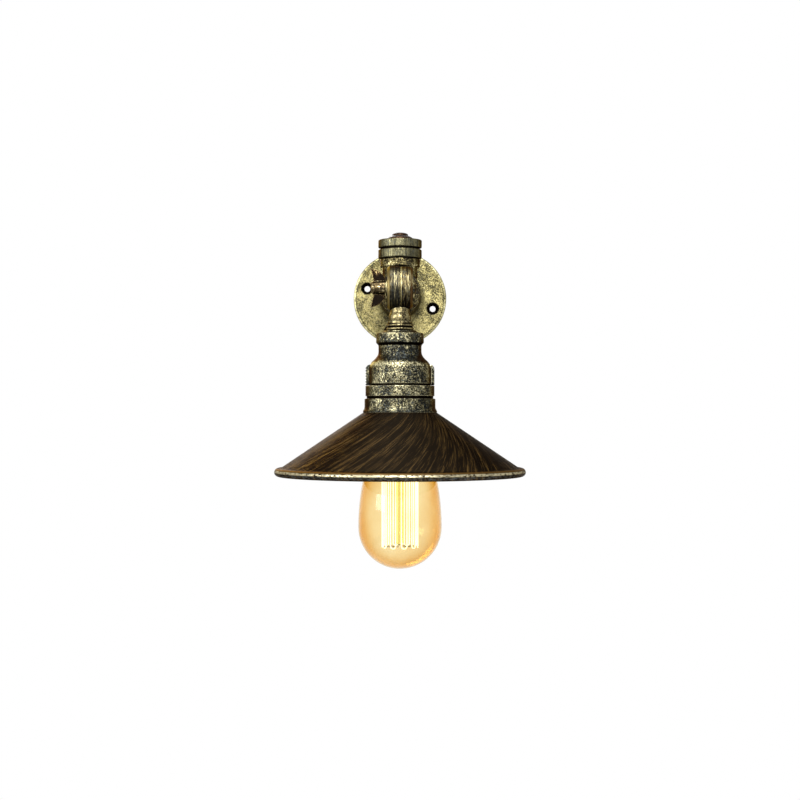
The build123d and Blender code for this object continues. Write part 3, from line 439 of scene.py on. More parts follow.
class Graph(Nodes):
    """Builds the node tree of one material."""

    def __init__(self, name: str) -> None:
        """Starts a material with a principled shader.

        Args:
            name: The material's name.
        """
        self.material: Material = bpy.data.materials.new(name)
        self.material.use_nodes = True
        super().__init__(self.material.node_tree)
        self.tree.nodes.clear()
        self.shader = self.add("ShaderNodeBsdfPrincipled")
        self.output = self.add("ShaderNodeOutputMaterial", {"Surface": self.shader.outputs["BSDF"]})
        self.spot: NodeSocket = self.add("ShaderNodeTexCoord").outputs["Object"]

    def paint(self, feeds: dict[str, object]) -> None:
        """Feeds the shader's inputs with sockets, numbers or colours."""
        for key, value in feeds.items():
            self.feed(self.shader.inputs[key], value)

    def noise(self, scale: float, detail: float = 3.0, where: NodeSocket | None = None,
              roughness: float = 0.55, twist: float = 0.0) -> NodeSocket:
        """Adds noise, mostly from 0.3 to 0.7, on the given coordinates or else the piece's own."""
        return self.add("ShaderNodeTexNoise", {
            "Vector": where or self.spot, "Scale": scale, "Detail": detail, "Roughness": roughness,
            "Distortion": twist}).outputs["Fac"]

    def blend(self, share: object, first: object, second: object) -> NodeSocket:
        """Mixes two colours, with the given share of the second."""
        return self.add("ShaderNodeMix", {0: share, 6: first, 7: second}, data_type="RGBA").outputs[2]

    def around(self, lathe: Lathe, turn: float, length: float, swirl: float = 0.0) -> NodeSocket:
        """Gives coordinates that run round an axis, for strokes along it, round it or in a spiral.

        Args:
            lathe: The axis.
            turn: How many units there are in a radian round it.
            length: How many units there are in a metre along it and outwards.
            swirl: How far a stroke turns as its radius grows, in radians for a factor of e.

        Returns:
            The coordinates.
        """
        shift = self.add("ShaderNodeVectorMath", {0: self.spot, 1: lathe.centre}, operation="SUBTRACT")
        parts = self.split(shift.outputs[0])
        one, two, along = (parts[letter] for letter in ("YZX" if lathe is Lathe.PIN else "XYZ"))
        radius = self.math("SQRT", self.plus(self.times(one, one), self.times(two, two)))
        flat = self.add("ShaderNodeCombineXYZ", {
            0: self.math("DIVIDE", one, radius), 1: self.math("DIVIDE", two, radius)})
        spread = self.add("ShaderNodeVectorRotate", {"Vector": flat.outputs[0]}, rotation_type="Z_AXIS")
        if swirl:
            growth = self.math("LOGARITHM", self.math("DIVIDE", radius, UNTURNED_RADIUS * MM), math.e)
            self.feed(spread.inputs["Angle"], self.times(growth, swirl))
            along = 0.0
        axes = self.split(spread.outputs[0])
        return self.add("ShaderNodeCombineXYZ", {
            0: self.times(axes["X"], turn), 1: self.times(axes["Y"], turn),
            2: self.times(self.plus(along, radius), length)}).outputs[0]

    def edges(self, reach: float) -> NodeSocket:
        """Finds the edges, where hands and brushes rub the paint off.

        Args:
            reach: How far from an edge the wear goes, in millimetres.

        Returns:
            How worn the place is, 0 to 1.
        """
        eased = self.add("ShaderNodeBevel", {"Radius": reach * MM}, samples=6)
        normal = self.add("ShaderNodeNewGeometry").outputs["Normal"]
        facing = self.add(
            "ShaderNodeVectorMath", {0: eased.outputs[0], 1: normal}, operation="DOT_PRODUCT")
        return self.span(self.math("SUBTRACT", 1.0, facing.outputs["Value"]), 0.004, 0.05)

    def corners(self, reach: float) -> NodeSocket:
        """Finds grooves and corners to paint shade in: 1 where a wall within reach, in millimetres, shuts
        them in.
        """
        node = self.add("ShaderNodeAmbientOcclusion", {"Distance": reach * MM}, samples=8, only_local=True)
        return self.math("SUBTRACT", 1.0, self.span(node.outputs["AO"], 0.25, 0.85))

    def bands(self, ranges: tuple[Point, ...], fade: float = 0.15, axis: str = "Z") -> NodeSocket | float:
        """Marks bands across an axis, such as grooves.

        Args:
            ranges: The lowest and highest place of each band, in millimetres.
            fade: How far the mark takes to fade, in millimetres.
            axis: The axis that the places are counted on.

        Returns:
            1 in a band, 0 elsewhere.
        """
        place = self.split(self.spot)[axis]
        marked: NodeSocket | float = 0.0
        for low, high in ranges:
            above = self.span(place, (low - fade) * MM, (low + fade) * MM)
            below = self.span(place, (high + fade) * MM, (high - fade) * MM)
            marked = self.larger(marked, self.times(above, below))
        return marked

    def turned_away(self, start: float, end: float, top: float) -> NodeSocket:
        """Finds where a surface turns away from the eye, 0 at the start and top at the end."""
        node = self.add("ShaderNodeLayerWeight", {"Blend": 0.5})
        return self.span(node.outputs["Facing"], start, end, top)

    def bump(self, height: NodeSocket, depth: float) -> None:
        """Raises the surface's fine relief to a depth in millimetres."""
        node = self.add("ShaderNodeBump", {"Strength": 1.0, "Distance": depth * MM, "Height": height})
        self.paint({"Normal": node.outputs[0]})


@dataclass(frozen=True)
class AgedCasting:
    """Antique bronze on a casting: dark, worn to brass in specks, strokes and edges; painted shade and
    highlights.
    """

    name: str
    dark: Colour
    brass: Colour
    pale: Colour
    cover: float = 0.5
    speck: float = 650.0
    patch: float = 0.38
    patch_scale: float = 130.0
    soft: float = 0.055
    lathe: Lathe | None = None
    turn: float = 16.0
    length: float = 90.0
    stroke: float = 0.5
    wear: float = 0.7
    steel: float = 0.25
    # How far painted shade reaches out of corners, in millimetres.
    corner_shade_reach: float = 3.0
    rough: tuple[float, float] = (0.28, 0.5)
    relief: float = 0.2
    seam: bool = False
    # Bands painted near-black as shade in grooves and gaps between parts.
    grooves: tuple[Point, ...] = ()
    # Bands, in millimetres, painted lighter as highlight.
    wear_and_highlight: tuple[Point, ...] = ()
    # Bands, in millimetres, painted darker as shade.
    painted_shade_bands: tuple[Point, ...] = ()
    # How strongly the painted highlight and shade bands show.
    light_band_strength: float = 0.06
    fade: float = 1.6
    rim: float = 0.7
    # How much painted brown reflection shows where the surface turns away.
    edge_reflection: float = 0.7
    spread: float = 0.22
    fleck_range: Point = (0.52, 0.66)
    edge_reflection_range: Point = (0.36, 0.72)
    seam_range: Point = (0.5, 0.2)
    # Bands across X painted as reflections, highlights and shade lines.
    painted_light_stripes: tuple[tuple[float, float, Colour, float], ...] = ()

    def level(self, graph: Graph, specks: NodeSocket) -> NodeSocket:
        """Works out how far each place shows brass, from wear and specks and from painted highlight and
        shade bands.

        Args:
            graph: The material's graph.
            specks: Its finest noise.

        Returns:
            The level, mostly from 0.3 to 0.7, and higher where more brass shows.
        """
        level = graph.weighed(specks, graph.noise(self.patch_scale, 3.0), self.patch)
        if self.lathe:
            strokes = graph.noise(1.0, 3.0, graph.around(self.lathe, self.turn, self.length), 0.7)
            level = graph.weighed(level, strokes, self.stroke)
        level = graph.plus(level, graph.times(graph.edges(self.rim), self.wear * 0.1))
        # Painted highlight raises the level in some bands; painted shade lowers it in others.
        level = graph.plus(level, graph.times(graph.bands(self.wear_and_highlight, self.fade), self.light_band_strength))
        return graph.plus(level, graph.times(graph.bands(self.painted_shade_bands, self.fade), -self.light_band_strength))

    def shade_and_seam(self, graph: Graph) -> NodeSocket:
        """Finds the corners and grooves that get painted shade, and the casting's dark parting line.

        Args:
            graph: The material's graph.

        Returns:
            How dark the place is painted, 0 to 1.
        """
        shade_and_seam = graph.larger(graph.corners(self.corner_shade_reach), graph.bands(self.grooves))
        if self.seam:
            across = graph.math("ABSOLUTE", graph.split(graph.spot)["X"])
            edge, middle = self.seam_range
            shade_and_seam = graph.larger(shade_and_seam, graph.span(across, edge * MM, middle * MM, 0.7))
        return shade_and_seam

    def build(self) -> Material:
        """Makes the material.

        Returns:
            The material.
        """
        graph = Graph(self.name)
        specks = graph.noise(self.speck, 4.0, roughness=0.7)
        level = self.level(graph, specks)
        middle = 0.5 + (0.5 - self.cover) * self.spread
        # Where brass shows, from wear and specks and from the painted highlight and shade bands.
        wear_and_highlight = graph.span(level, middle - self.soft, middle + self.soft)
        bright = graph.span(level, middle + self.soft * 0.8, middle + self.soft * 2.4)
        colour = graph.blend(bright, graph.blend(wear_and_highlight, self.dark, self.brass), self.pale)
        flecks = graph.span(graph.noise(self.speck * 0.7, 2.0, twist=0.6), *self.fleck_range, self.steel)
        colour = graph.blend(flecks, colour, STEEL_GREY)
        # Painted reflection: brown where the surface turns away from the eye.
        colour = graph.blend(graph.turned_away(*self.edge_reflection_range, self.edge_reflection), colour, PAINTED_BROWN_REFLECTION)
        # Painted stripes across X: reflections, highlights and shade lines.
        for low, high, paint, share in self.painted_light_stripes:
            colour = graph.blend(graph.times(graph.bands(((low, high),), 0.2, "X"), share), colour, paint)
        smooth, matt = self.rough
        # Painted shade in corners and grooves, and the dark parting line.
        graph.paint({
            "Base Color": graph.blend(self.shade_and_seam(graph), colour, SHADE_AND_SEAM_DARK), "Metallic": 1.0,
            "Specular Tint": BROWN_RIM,
            "Roughness": graph.math("SUBTRACT", matt, graph.times(wear_and_highlight, matt - smooth))})
        graph.bump(graph.plus(graph.times(specks, 0.6), graph.times(wear_and_highlight, 0.25)), self.relief)
        return graph.material


@dataclass(frozen=True)
class BrushedShade:
    """Near-black brown paint with golden strokes that spiral down the cone, and a worn silver bead."""

    name: str
    ground: Colour
    haze: Colour
    gold: Colour
    brow: Colour
    silver: Colour
    belly: Colour
    bead_drop: float
    bead_reach: float
    spiral: float = 0.74
    clump_spiral: float = 0.66
    clump_share: float = 0.3
    stroke_range: Point = (0.595, 0.65)
    crest_range: Point = (0.36, 0.56)
    belly_range: Point = (0.46, 0.6)
    rough: float = 0.5
    shine: float = 0.18

    def bead(self, graph: Graph, top: float, bottom: float, fade: float) -> NodeSocket:
        """Marks a band round the bead, from one height above its middle to a lower one."""
        return graph.bands(((bottom - self.bead_drop, top - self.bead_drop),), fade)

    def build(self) -> Material:
        """Makes the material.

        Returns:
            The material.
        """
        graph = Graph(self.name)
        fine = graph.noise(1.0, 0.8, graph.around(Lathe.LAMP, 420.0, 62.0, self.spiral), 0.5)
        clumps = graph.noise(1.0, 2.0, graph.around(Lathe.LAMP, 24.0, 26.0, self.clump_spiral), 0.5)
        level = graph.weighed(fine, clumps, self.clump_share)
        strokes = graph.span(level, *self.stroke_range)
        streaks = graph.noise(1.0, 4.0, graph.around(Lathe.LAMP, 34.0, 860.0), 0.7)
        crest = graph.times(self.bead(graph, 1.6, -0.1, 0.4), graph.span(streaks, *self.crest_range))
        belly = graph.times(self.bead(graph, -0.5, -2.2, 0.3), graph.span(streaks, *self.belly_range))
        brow = graph.times(self.bead(graph, self.bead_reach, 1.9, 0.35), 0.7)
        colour = graph.blend(graph.span(clumps, 0.46, 0.66, 0.2), self.ground, self.haze)
        shares = (strokes, brow, crest, belly)
        for share, paint in zip(shares, (self.gold, self.brow, self.silver, self.belly)):
            colour = graph.blend(share, colour, paint)
        shine = graph.larger(strokes, graph.larger(crest, belly))
        graph.paint({
            "Base Color": colour, "Metallic": 1.0, "Specular Tint": GREY_RIM,
            "Roughness": graph.math("SUBTRACT", self.rough, graph.times(shine, self.shine))})
        graph.bump(graph.weighed(level, graph.noise(900.0), 0.2), 0.1)
        return graph.material


@dataclass(frozen=True)
class PlainFinish:
    """A finish of one colour that clouds a little and wears to a second colour in specks."""

    name: str
    colour: Colour
    second: Colour
    metal: float
    rough: float
    scale: float = 300.0
    relief: float = 0.03
    glow: float = 0.0

    def build(self) -> Material:
        """Makes the material.

        Returns:
            The material.
        """
        graph = Graph(self.name)
        clouds = graph.noise(self.scale, 4.0)
        grain = graph.times(graph.noise(self.scale * 2, 2.0), 0.2)
        graph.paint({
            "Base Color": graph.blend(graph.span(clouds, 0.4, 0.65), self.colour, self.second),
            "Metallic": self.metal, "Roughness": graph.plus(grain, self.rough - 0.1),
            "Emission Color": self.colour, "Emission Strength": self.glow})
        graph.bump(clouds, self.relief)
        return graph.material


@dataclass(frozen=True)
class TintedGlass:
    """Tinted glass, deeper where it turns away and towards its crown, there partly as a painted reflection.
    """

    name: str
    tint: Colour
    deep: Colour
    edge: Colour
    rough: float = 0.0
    crown: float = 0.0
    bending: float = 1.3
    crown_fade: float = 20.0
    crown_range: Point = (-132.0, -60.0)
    deep_range: Point = (0.12, 0.62)
    edge_range: Point = (0.72, 0.96)

    def build(self) -> Material:
        """Makes the material.

        Returns:
            The material.
        """
        graph = Graph(self.name)
        cloud = graph.span(graph.noise(40.0, 2.0), 0.35, 0.7, 0.2)
        depth = graph.plus(cloud, graph.turned_away(*self.deep_range, 0.8))
        colour = graph.blend(depth, self.tint, self.deep)
        colour = graph.blend(graph.turned_away(*self.edge_range, 0.6), colour, self.edge)
        # Deeper amber toward the neck: partly the glass's own denser colour, partly a painted reflection of
        # the shade's dark inside.
        crown = graph.times(graph.bands((self.crown_range,), self.crown_fade), self.crown)
        graph.paint({
            "Base Color": graph.blend(crown, colour, self.edge), "Transmission Weight": 1.0,
            "Roughness": self.rough, "IOR": self.bending})
        return graph.material


class Finishes:
    """All the light's materials, each made once."""

    def __init__(self) -> None:
        """Makes the materials."""
        flange = AgedCasting(
            "flange_bronze", srgb(58, 54, 36), srgb(131, 122, 80), srgb(170, 159, 109), cover=0.6,
            speck=900.0, patch=0.36, soft=0.075, wear=1.2, steel=0.2, rough=(0.4, 0.52), corner_shade_reach=5.0,
            relief=0.1, edge_reflection=0.3)
        self.flange = flange.build()
        # A paler finish on the rim: painted highlight.
        self.lip_highlight = replace(flange, name="lip_painted_highlight", dark=srgb(96, 90, 60), brass=srgb(192, 184, 136),
                           pale=srgb(226, 218, 172)).build()
        # A darker finish for the dip inside the rim: painted shade.
        self.gully_shade = replace(flange, name="gully_painted_shade", dark=srgb(42, 40, 26), brass=srgb(98, 92, 60),
                             pale=srgb(136, 128, 88)).build()
        # A near-black finish in the countersinks: painted shade.
        self.sunk_shade = AgedCasting(
            "hole_painted_shade", srgb(14, 11, 8), srgb(30, 24, 16), srgb(120, 110, 78), cover=0.3, speck=900.0,
            wear=0.8, relief=0.05, steel=0.0, rough=(0.45, 0.5)).build()
        # Tee: painted shade in the gap under the cap and over the body, painted highlight on the branch
        # band's lower part.
        self.tee = AgedCasting(
            "tee_bronze", srgb(30, 26, 19), srgb(122, 112, 74), srgb(212, 202, 156), cover=0.4, speck=850.0,
            wear=1.5, steel=0.1, seam=True, grooves=((27.6, 28.8),), wear_and_highlight=((20.6, 23.6),),
            painted_shade_bands=((-17.0, 17.0),), light_band_strength=0.034).build()
        # Cap: painted shade in the groove between its two bands.
        self.cap = AgedCasting(
            "cap_bronze", srgb(52, 51, 39), srgb(106, 102, 76), srgb(150, 145, 108), lathe=Lathe.BRANCH,
            turn=30.0, length=60.0, stroke=0.62, steel=0.22, wear=1.9, soft=0.07, rough=(0.36, 0.48),
            relief=0.12, grooves=((35.4, 37.2),)).build()
        # Swivel: painted highlight across the discs' upper part and painted shade below them.
        self.knuckle = AgedCasting(
            "swivel_bronze", srgb(26, 22, 16), srgb(104, 94, 65), srgb(184, 173, 128), cover=0.45,
            speck=700.0, lathe=Lathe.PIN, turn=1.5, length=900.0, stroke=0.84, soft=0.06, steel=0.3,
            wear=2.0, rough=(0.38, 0.46), relief=0.05, seam=True, wear_and_highlight=((1, 7),), painted_shade_bands=((-20, -5),),
            light_band_strength=0.045, fade=4.0, rim=0.45, painted_light_stripes=(
                # Painted reflections on both chamfers, shade lines at their inner edges, a highlight by the
                # seam, the left face darkened.
                (-9.5, -7.9, srgb(112, 98, 60), 0.8), (7.9, 9.5, srgb(84, 62, 36), 0.75),
                (-7.5, -7.2, srgb(20, 16, 10), 0.85), (7.2, 7.5, srgb(20, 16, 10), 0.85),
                (0.55, 1.2, srgb(168, 156, 110), 0.7), (-7.0, -0.5, srgb(36, 38, 37), 0.5))).build()
        # Neck: painted shade between the stub's thread ridges.
        self.neck = AgedCasting(
            "neck_bronze", srgb(30, 24, 15), srgb(142, 130, 92), srgb(204, 194, 150), cover=0.62,
            speck=900.0, soft=0.08, wear=1.8, steel=0.1, rough=(0.3, 0.4), relief=0.06, seam=True, rim=0.5,
            grooves=((-28.2, -27.2), (-30.8, -29.7), (-33.6, -32.3)), edge_reflection=0.85).build()
        # Cup: painted shade in its grooves, over the neck and at the collar's foot, painted highlight along
        # the shoulder.
        cup = AgedCasting(
            "cup_bronze", srgb(22, 23, 22), srgb(105, 99, 72), srgb(216, 208, 166), cover=0.445,
            speck=1000.0, patch=0.26, soft=0.034, lathe=Lathe.LAMP, turn=3.4, length=42.0, stroke=0.2,
            steel=0.42, wear=1.8, relief=0.16, rough=(0.3, 0.42), corner_shade_reach=4.0, wear_and_highlight=((-60.4, -57.6),),
            grooves=((-44.4, -42.3), (-75.0, -73.6), (-85.1, -83.0)),
            painted_shade_bands=((-56.2, -46.6), (-96.5, -94.2)), light_band_strength=0.05, fade=0.9)
        self.cup = cup.build()
        self.rib = replace(cup, name="rib_bronze", cover=0.3, wear=0.6, wear_and_highlight=(), edge_reflection=0.9).build()
        self.nut = AgedCasting(
            "nut_bronze", srgb(17, 13, 9), srgb(38, 27, 17), srgb(176, 154, 104), cover=0.34, speck=900.0,
            wear=2.6, relief=0.05, steel=0.0, rough=(0.4, 0.5)).build()
        self.hub = AgedCasting(
            "hub_bronze", srgb(38, 31, 20), srgb(90, 77, 52), srgb(206, 192, 150), speck=500.0,
            lathe=Lathe.PIN, turn=2.0, length=500.0, wear=2.0, relief=0.05, steel=0.1, rim=0.6,
            rough=(0.26, 0.4)).build()
        self.shade = BrushedShade(
            "brushed_shade", ground=srgb(31, 26, 20), haze=srgb(54, 45, 34), gold=srgb(132, 106, 66),
            brow=srgb(104, 78, 42), silver=srgb(182, 173, 142), belly=srgb(78, 80, 80), bead_drop=141.1,
            bead_reach=2.9).build()
        self.lining = PlainFinish(
            "shade_lining", srgb(44, 37, 29), srgb(34, 28, 22), 1.0, 0.55, 260.0, 0.05).build()
        self.brown = PlainFinish(
            "brown_iron", srgb(60, 44, 32), srgb(34, 25, 18), 1.0, 0.42, 700.0, 0.08).build()
        self.zinc = PlainFinish("zinc_pipe", srgb(112, 110, 100), srgb(84, 82, 74), 1.0, 0.45).build()
        self.steel = PlainFinish("steel_wire", srgb(176, 174, 168), srgb(140, 138, 132), 0.95, 0.35).build()
        self.brass = PlainFinish("brass_contact", srgb(206, 174, 98), srgb(170, 136, 70), 0.95, 0.32).build()
        self.ceramic = PlainFinish(
            "white_glaze", srgb(234, 230, 218), srgb(222, 216, 202), 0.0, 0.22, 120.0).build()
        self.phenolic = PlainFinish(
            "black_phenolic", srgb(34, 33, 32), srgb(48, 46, 44), 0.0, 0.45, 200.0).build()
        self.silicone = PlainFinish(
            "silicone_lead", srgb(150, 52, 36), srgb(128, 42, 30), 0.0, 0.6, 200.0).build()
        self.glow = PlainFinish(
            "filament_glow", srgb(255, 246, 224), srgb(255, 240, 205), 0.0, 0.5, glow=1.7).build()
        self.glass = TintedGlass(
            "amber_glass", srgb(255, 243, 208), srgb(236, 182, 72), srgb(196, 118, 34), crown=0.5).build()
        self.stem = TintedGlass(
            "stem_glass", srgb(252, 252, 196), srgb(240, 240, 110), srgb(232, 228, 84), 0.1, 0.8).build()


def off_pin(spot: Vector) -> float:
    """Gives a spot's distance from the pin's axis, in millimetres."""
    return math.hypot(spot.y + PIN_REACH, spot.z)


def refinish(piece: Object, second: Material, chosen: Callable[[Vector], bool]) -> None:
    """Gives some of a dressed piece's faces another finish.

    Args:
        piece: The piece.
        second: The other material.
        chosen: Says of a face's centre, in millimetres, whether it gets that material.
    """
    piece.data.materials.append(second)
    for face in piece.data.polygons:
        if chosen(face.center / MM):
            face.material_index = len(piece.data.materials) - 1


def dress(piece: Object, material: Material, body: Body, slot: str, *nodes: str,
          crease: float = 40.0) -> None:
    """Finishes a modelled piece and sets it on its body in place of its CAD nodes.

    Args:
        piece: The piece.
        material: Its material.
        body: The body that it rides on.
        slot: The record's material slot; not used.
        *nodes: The CAD nodes that it stands for.
        crease: The angle above which an edge stays sharp, in degrees.
    """
    pick(piece)
    bpy.ops.object.shade_smooth_by_angle(angle=math.radians(crease))
    piece.data.materials.clear()
    piece.data.materials.append(material)
    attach(piece, body.value)
    if nodes:
        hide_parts(*nodes)
    LOG.info("%s: %d faces on %s", piece.name, len(piece.data.polygons), body.value)
    deselect()


@dataclass
class WallFlange:
    """The round floor flange with its hub and four countersunk holes."""

    finishes: Finishes
    radius: float = 39.0
    thickness: float = 5.5
    hub_radius: float = 15.75
    hub_length: float = 16.0
    bolt_circle: float = 28.75
    bolt_hole: float = 2.5
    sink: float = 4.8
    sink_depth: float = 2.3
    first_angle: float = -17.0
    back: float = 0.1
    sunk_front: float = 1.5
    lip_width: float = 1.6
    lip_front: float = 2.4
    gully_width: float = 2.9
    gully_front: float = 3.2

    def drill(self, flange: Object) -> list[Vector]:
        """Drills the four holes.

        Args:
            flange: The flange.

        Returns:
            The holes' places on the wall, in millimetres.
        """
        face = self.thickness - 0.6
        outline = [(0, -3), (self.bolt_hole, -3), (self.bolt_hole, face - self.sink_depth),
                   (self.sink, face), (self.sink, 12), (0, 12)]
        drills, holes = [], []
        for number in range(4):
            angle = math.radians(self.first_angle + 90 * number)
            hole = Vector((math.cos(angle), math.sin(angle))) * self.bolt_circle
            drill = turned("drill", Lathe.WALL, outline, 32)
            drill.location = Vector((hole.x, 0, hole.y)) * MM
            holes.append(hole)
            drills.append(settle(drill, "drill"))
        combined(flange, joined("drills", drills), Join.CUT)
        return holes

    def build(self) -> None:
        """Models the flange; its holes and the dip inside its rim get painted shade, its rim a painted
        highlight.
        """
        radius, face, hub = self.radius, self.thickness, self.hub_radius
        flange = rounded("flange", Lathe.WALL, [
            (PIPE_THREAD, self.back, 0.2), (radius - 0.2, self.back, 0.6), (radius, face - 0.6, 1.6),
            (radius - 2.2, face, 1.4), (radius - 4.6, face - 0.35, 1.6), (hub + 4.6, face - 0.2, 3.0),
            (hub + 1.2, face + 2.6, 2.6), (hub, self.hub_length - 1.0, 0.8),
            (hub - 1.2, self.hub_length, 0.8), (PIPE_THREAD, self.hub_length, 0.2)], 160, 1.6)
        holes = self.drill(flange)
        cast(flange, 0.55, 3)
        rippled(flange, 0.16, 7.0)
        dress(flange, self.finishes.flange, Body.ARM, "cast_bronze_flange", "wall_flange")
        # Painted shade in the countersinks.
        refinish(flange, self.finishes.sunk_shade, lambda spot: spot.y < -self.sunk_front and any(
            (spot.xz - hole).length < self.sink + 0.35 for hole in holes))
        # Painted shade in the dip inside the rim.
        refinish(flange, self.finishes.gully_shade,
                 lambda spot: spot.y < -self.gully_front and spot.xz.length > radius - self.gully_width)
        # Painted highlight on the rim.
        refinish(flange, self.finishes.lip_highlight,
                 lambda spot: spot.y < -self.lip_front and spot.xz.length > radius - self.lip_width)


@dataclass
class TeeFitting:
    """The tee: a level run and a branch that rises from it, with a band at each mouth."""

    finishes: Finishes
    rear: float = 24.0
    front: float = 80.0
    body_radius: float = 14.1
    band_radius: float = 16.1
    band_length: float = 8.0
    branch_height: float = 28.0
    branch_band: float = 6.5
    bore: float = 10.4

    def band(self, lathe: Lathe, start: float, end: float) -> Object:
        """Turns one rounded band."""
        return rounded("band", lathe, [
            (0, start, 0), (self.band_radius, start, 0.7), (self.band_radius, end, 0.7), (0, end, 0)], 96)

    def build(self) -> None:
        """Models the tee."""
        rear, front, height = self.rear, self.front, self.branch_height
        tee = joined("tee_casting", [
            rod(Lathe.WALL, self.body_radius, rear + 1, front - 1),
            rod(Lathe.BRANCH, self.body_radius, 0, height - 1),
            self.band(Lathe.WALL, rear, rear + self.band_length),
            self.band(Lathe.WALL, front - self.band_length, front),
            self.band(Lathe.BRANCH, height - self.branch_band, height)])
        cast(tee, 0.42, 2)
        combined(tee, rod(Lathe.WALL, self.bore, rear - 4, front + 4, 64), Join.CUT)
        combined(tee, rod(Lathe.BRANCH, self.bore, 0, height + 4, 64), Join.CUT)
        dress(tee, self.finishes.tee, Body.ARM, "cast_bronze_fitting", "tee")


@dataclass
class BranchCap:
    """The two-banded cap on the branch, with its brown washer and domed screw."""

    finishes: Finishes
    radius: float = 17.55
    bottom: float = 28.6
    roof: float = 3.2
    groove_bottom: float = 35.5
    groove_top: float = 37.1
    groove_depth: float = 1.5
    top: float = 43.4
    washer_radius: float = 10.2
    washer_edge: float = 1.8
    washer_top: float = 47.0
    dome_radius: float = 6.5
    dome_top: float = 49.5
    dome_wall: float = 0.3
    screw_radius: float = 2.5
    screw_end: float = 36.5

    def build(self) -> None:
        """Models the cap, the washer and the screw."""
        radius, groove, inside = self.radius, self.radius - self.groove_depth, self.top - self.roof
        cap = rounded("cap_casting", Lathe.BRANCH, [
            (0, inside, 0), (PIPE_THREAD, inside, 0.3), (PIPE_THREAD, self.bottom, 0.3),
            (radius, self.bottom, 0.9), (radius, self.groove_bottom, 0.8), (groove, self.groove_bottom, 0.4),
            (groove, self.groove_top, 0.4), (radius, self.groove_top, 0.8), (radius, self.top, 1.0),
            (0, self.top, 0)], 140, 0.9)
        rippled(cap, 0.18, 5.0)
        dress(cap, self.finishes.cap, Body.ARM, "aged_cap", "branch_cap")
        washer = rounded("cap_washer_cone", Lathe.BRANCH, [
            (0, self.top, 0), (self.washer_radius, self.top, 0.2),
            (self.washer_radius - 0.1, self.top + self.washer_edge, 0.5),
            (self.dome_radius + 0.2, self.washer_top, 0.5), (0, self.washer_top, 0)], 72, 0.8)
        dress(washer, self.finishes.brown, Body.ARM, "brown_iron", "cap_washer")
        crown = dome(self.dome_radius, self.washer_top, self.dome_top - self.washer_top, 10, self.dome_wall)
        screw = turned("cap_dome", Lathe.BRANCH, [
            (0, self.screw_end), (self.screw_radius, self.screw_end), (self.screw_radius, self.washer_top),
            (self.dome_radius, self.washer_top)] + crown, 64)
        dress(screw, self.finishes.brown, Body.ARM, "brown_iron", "cap_screw")


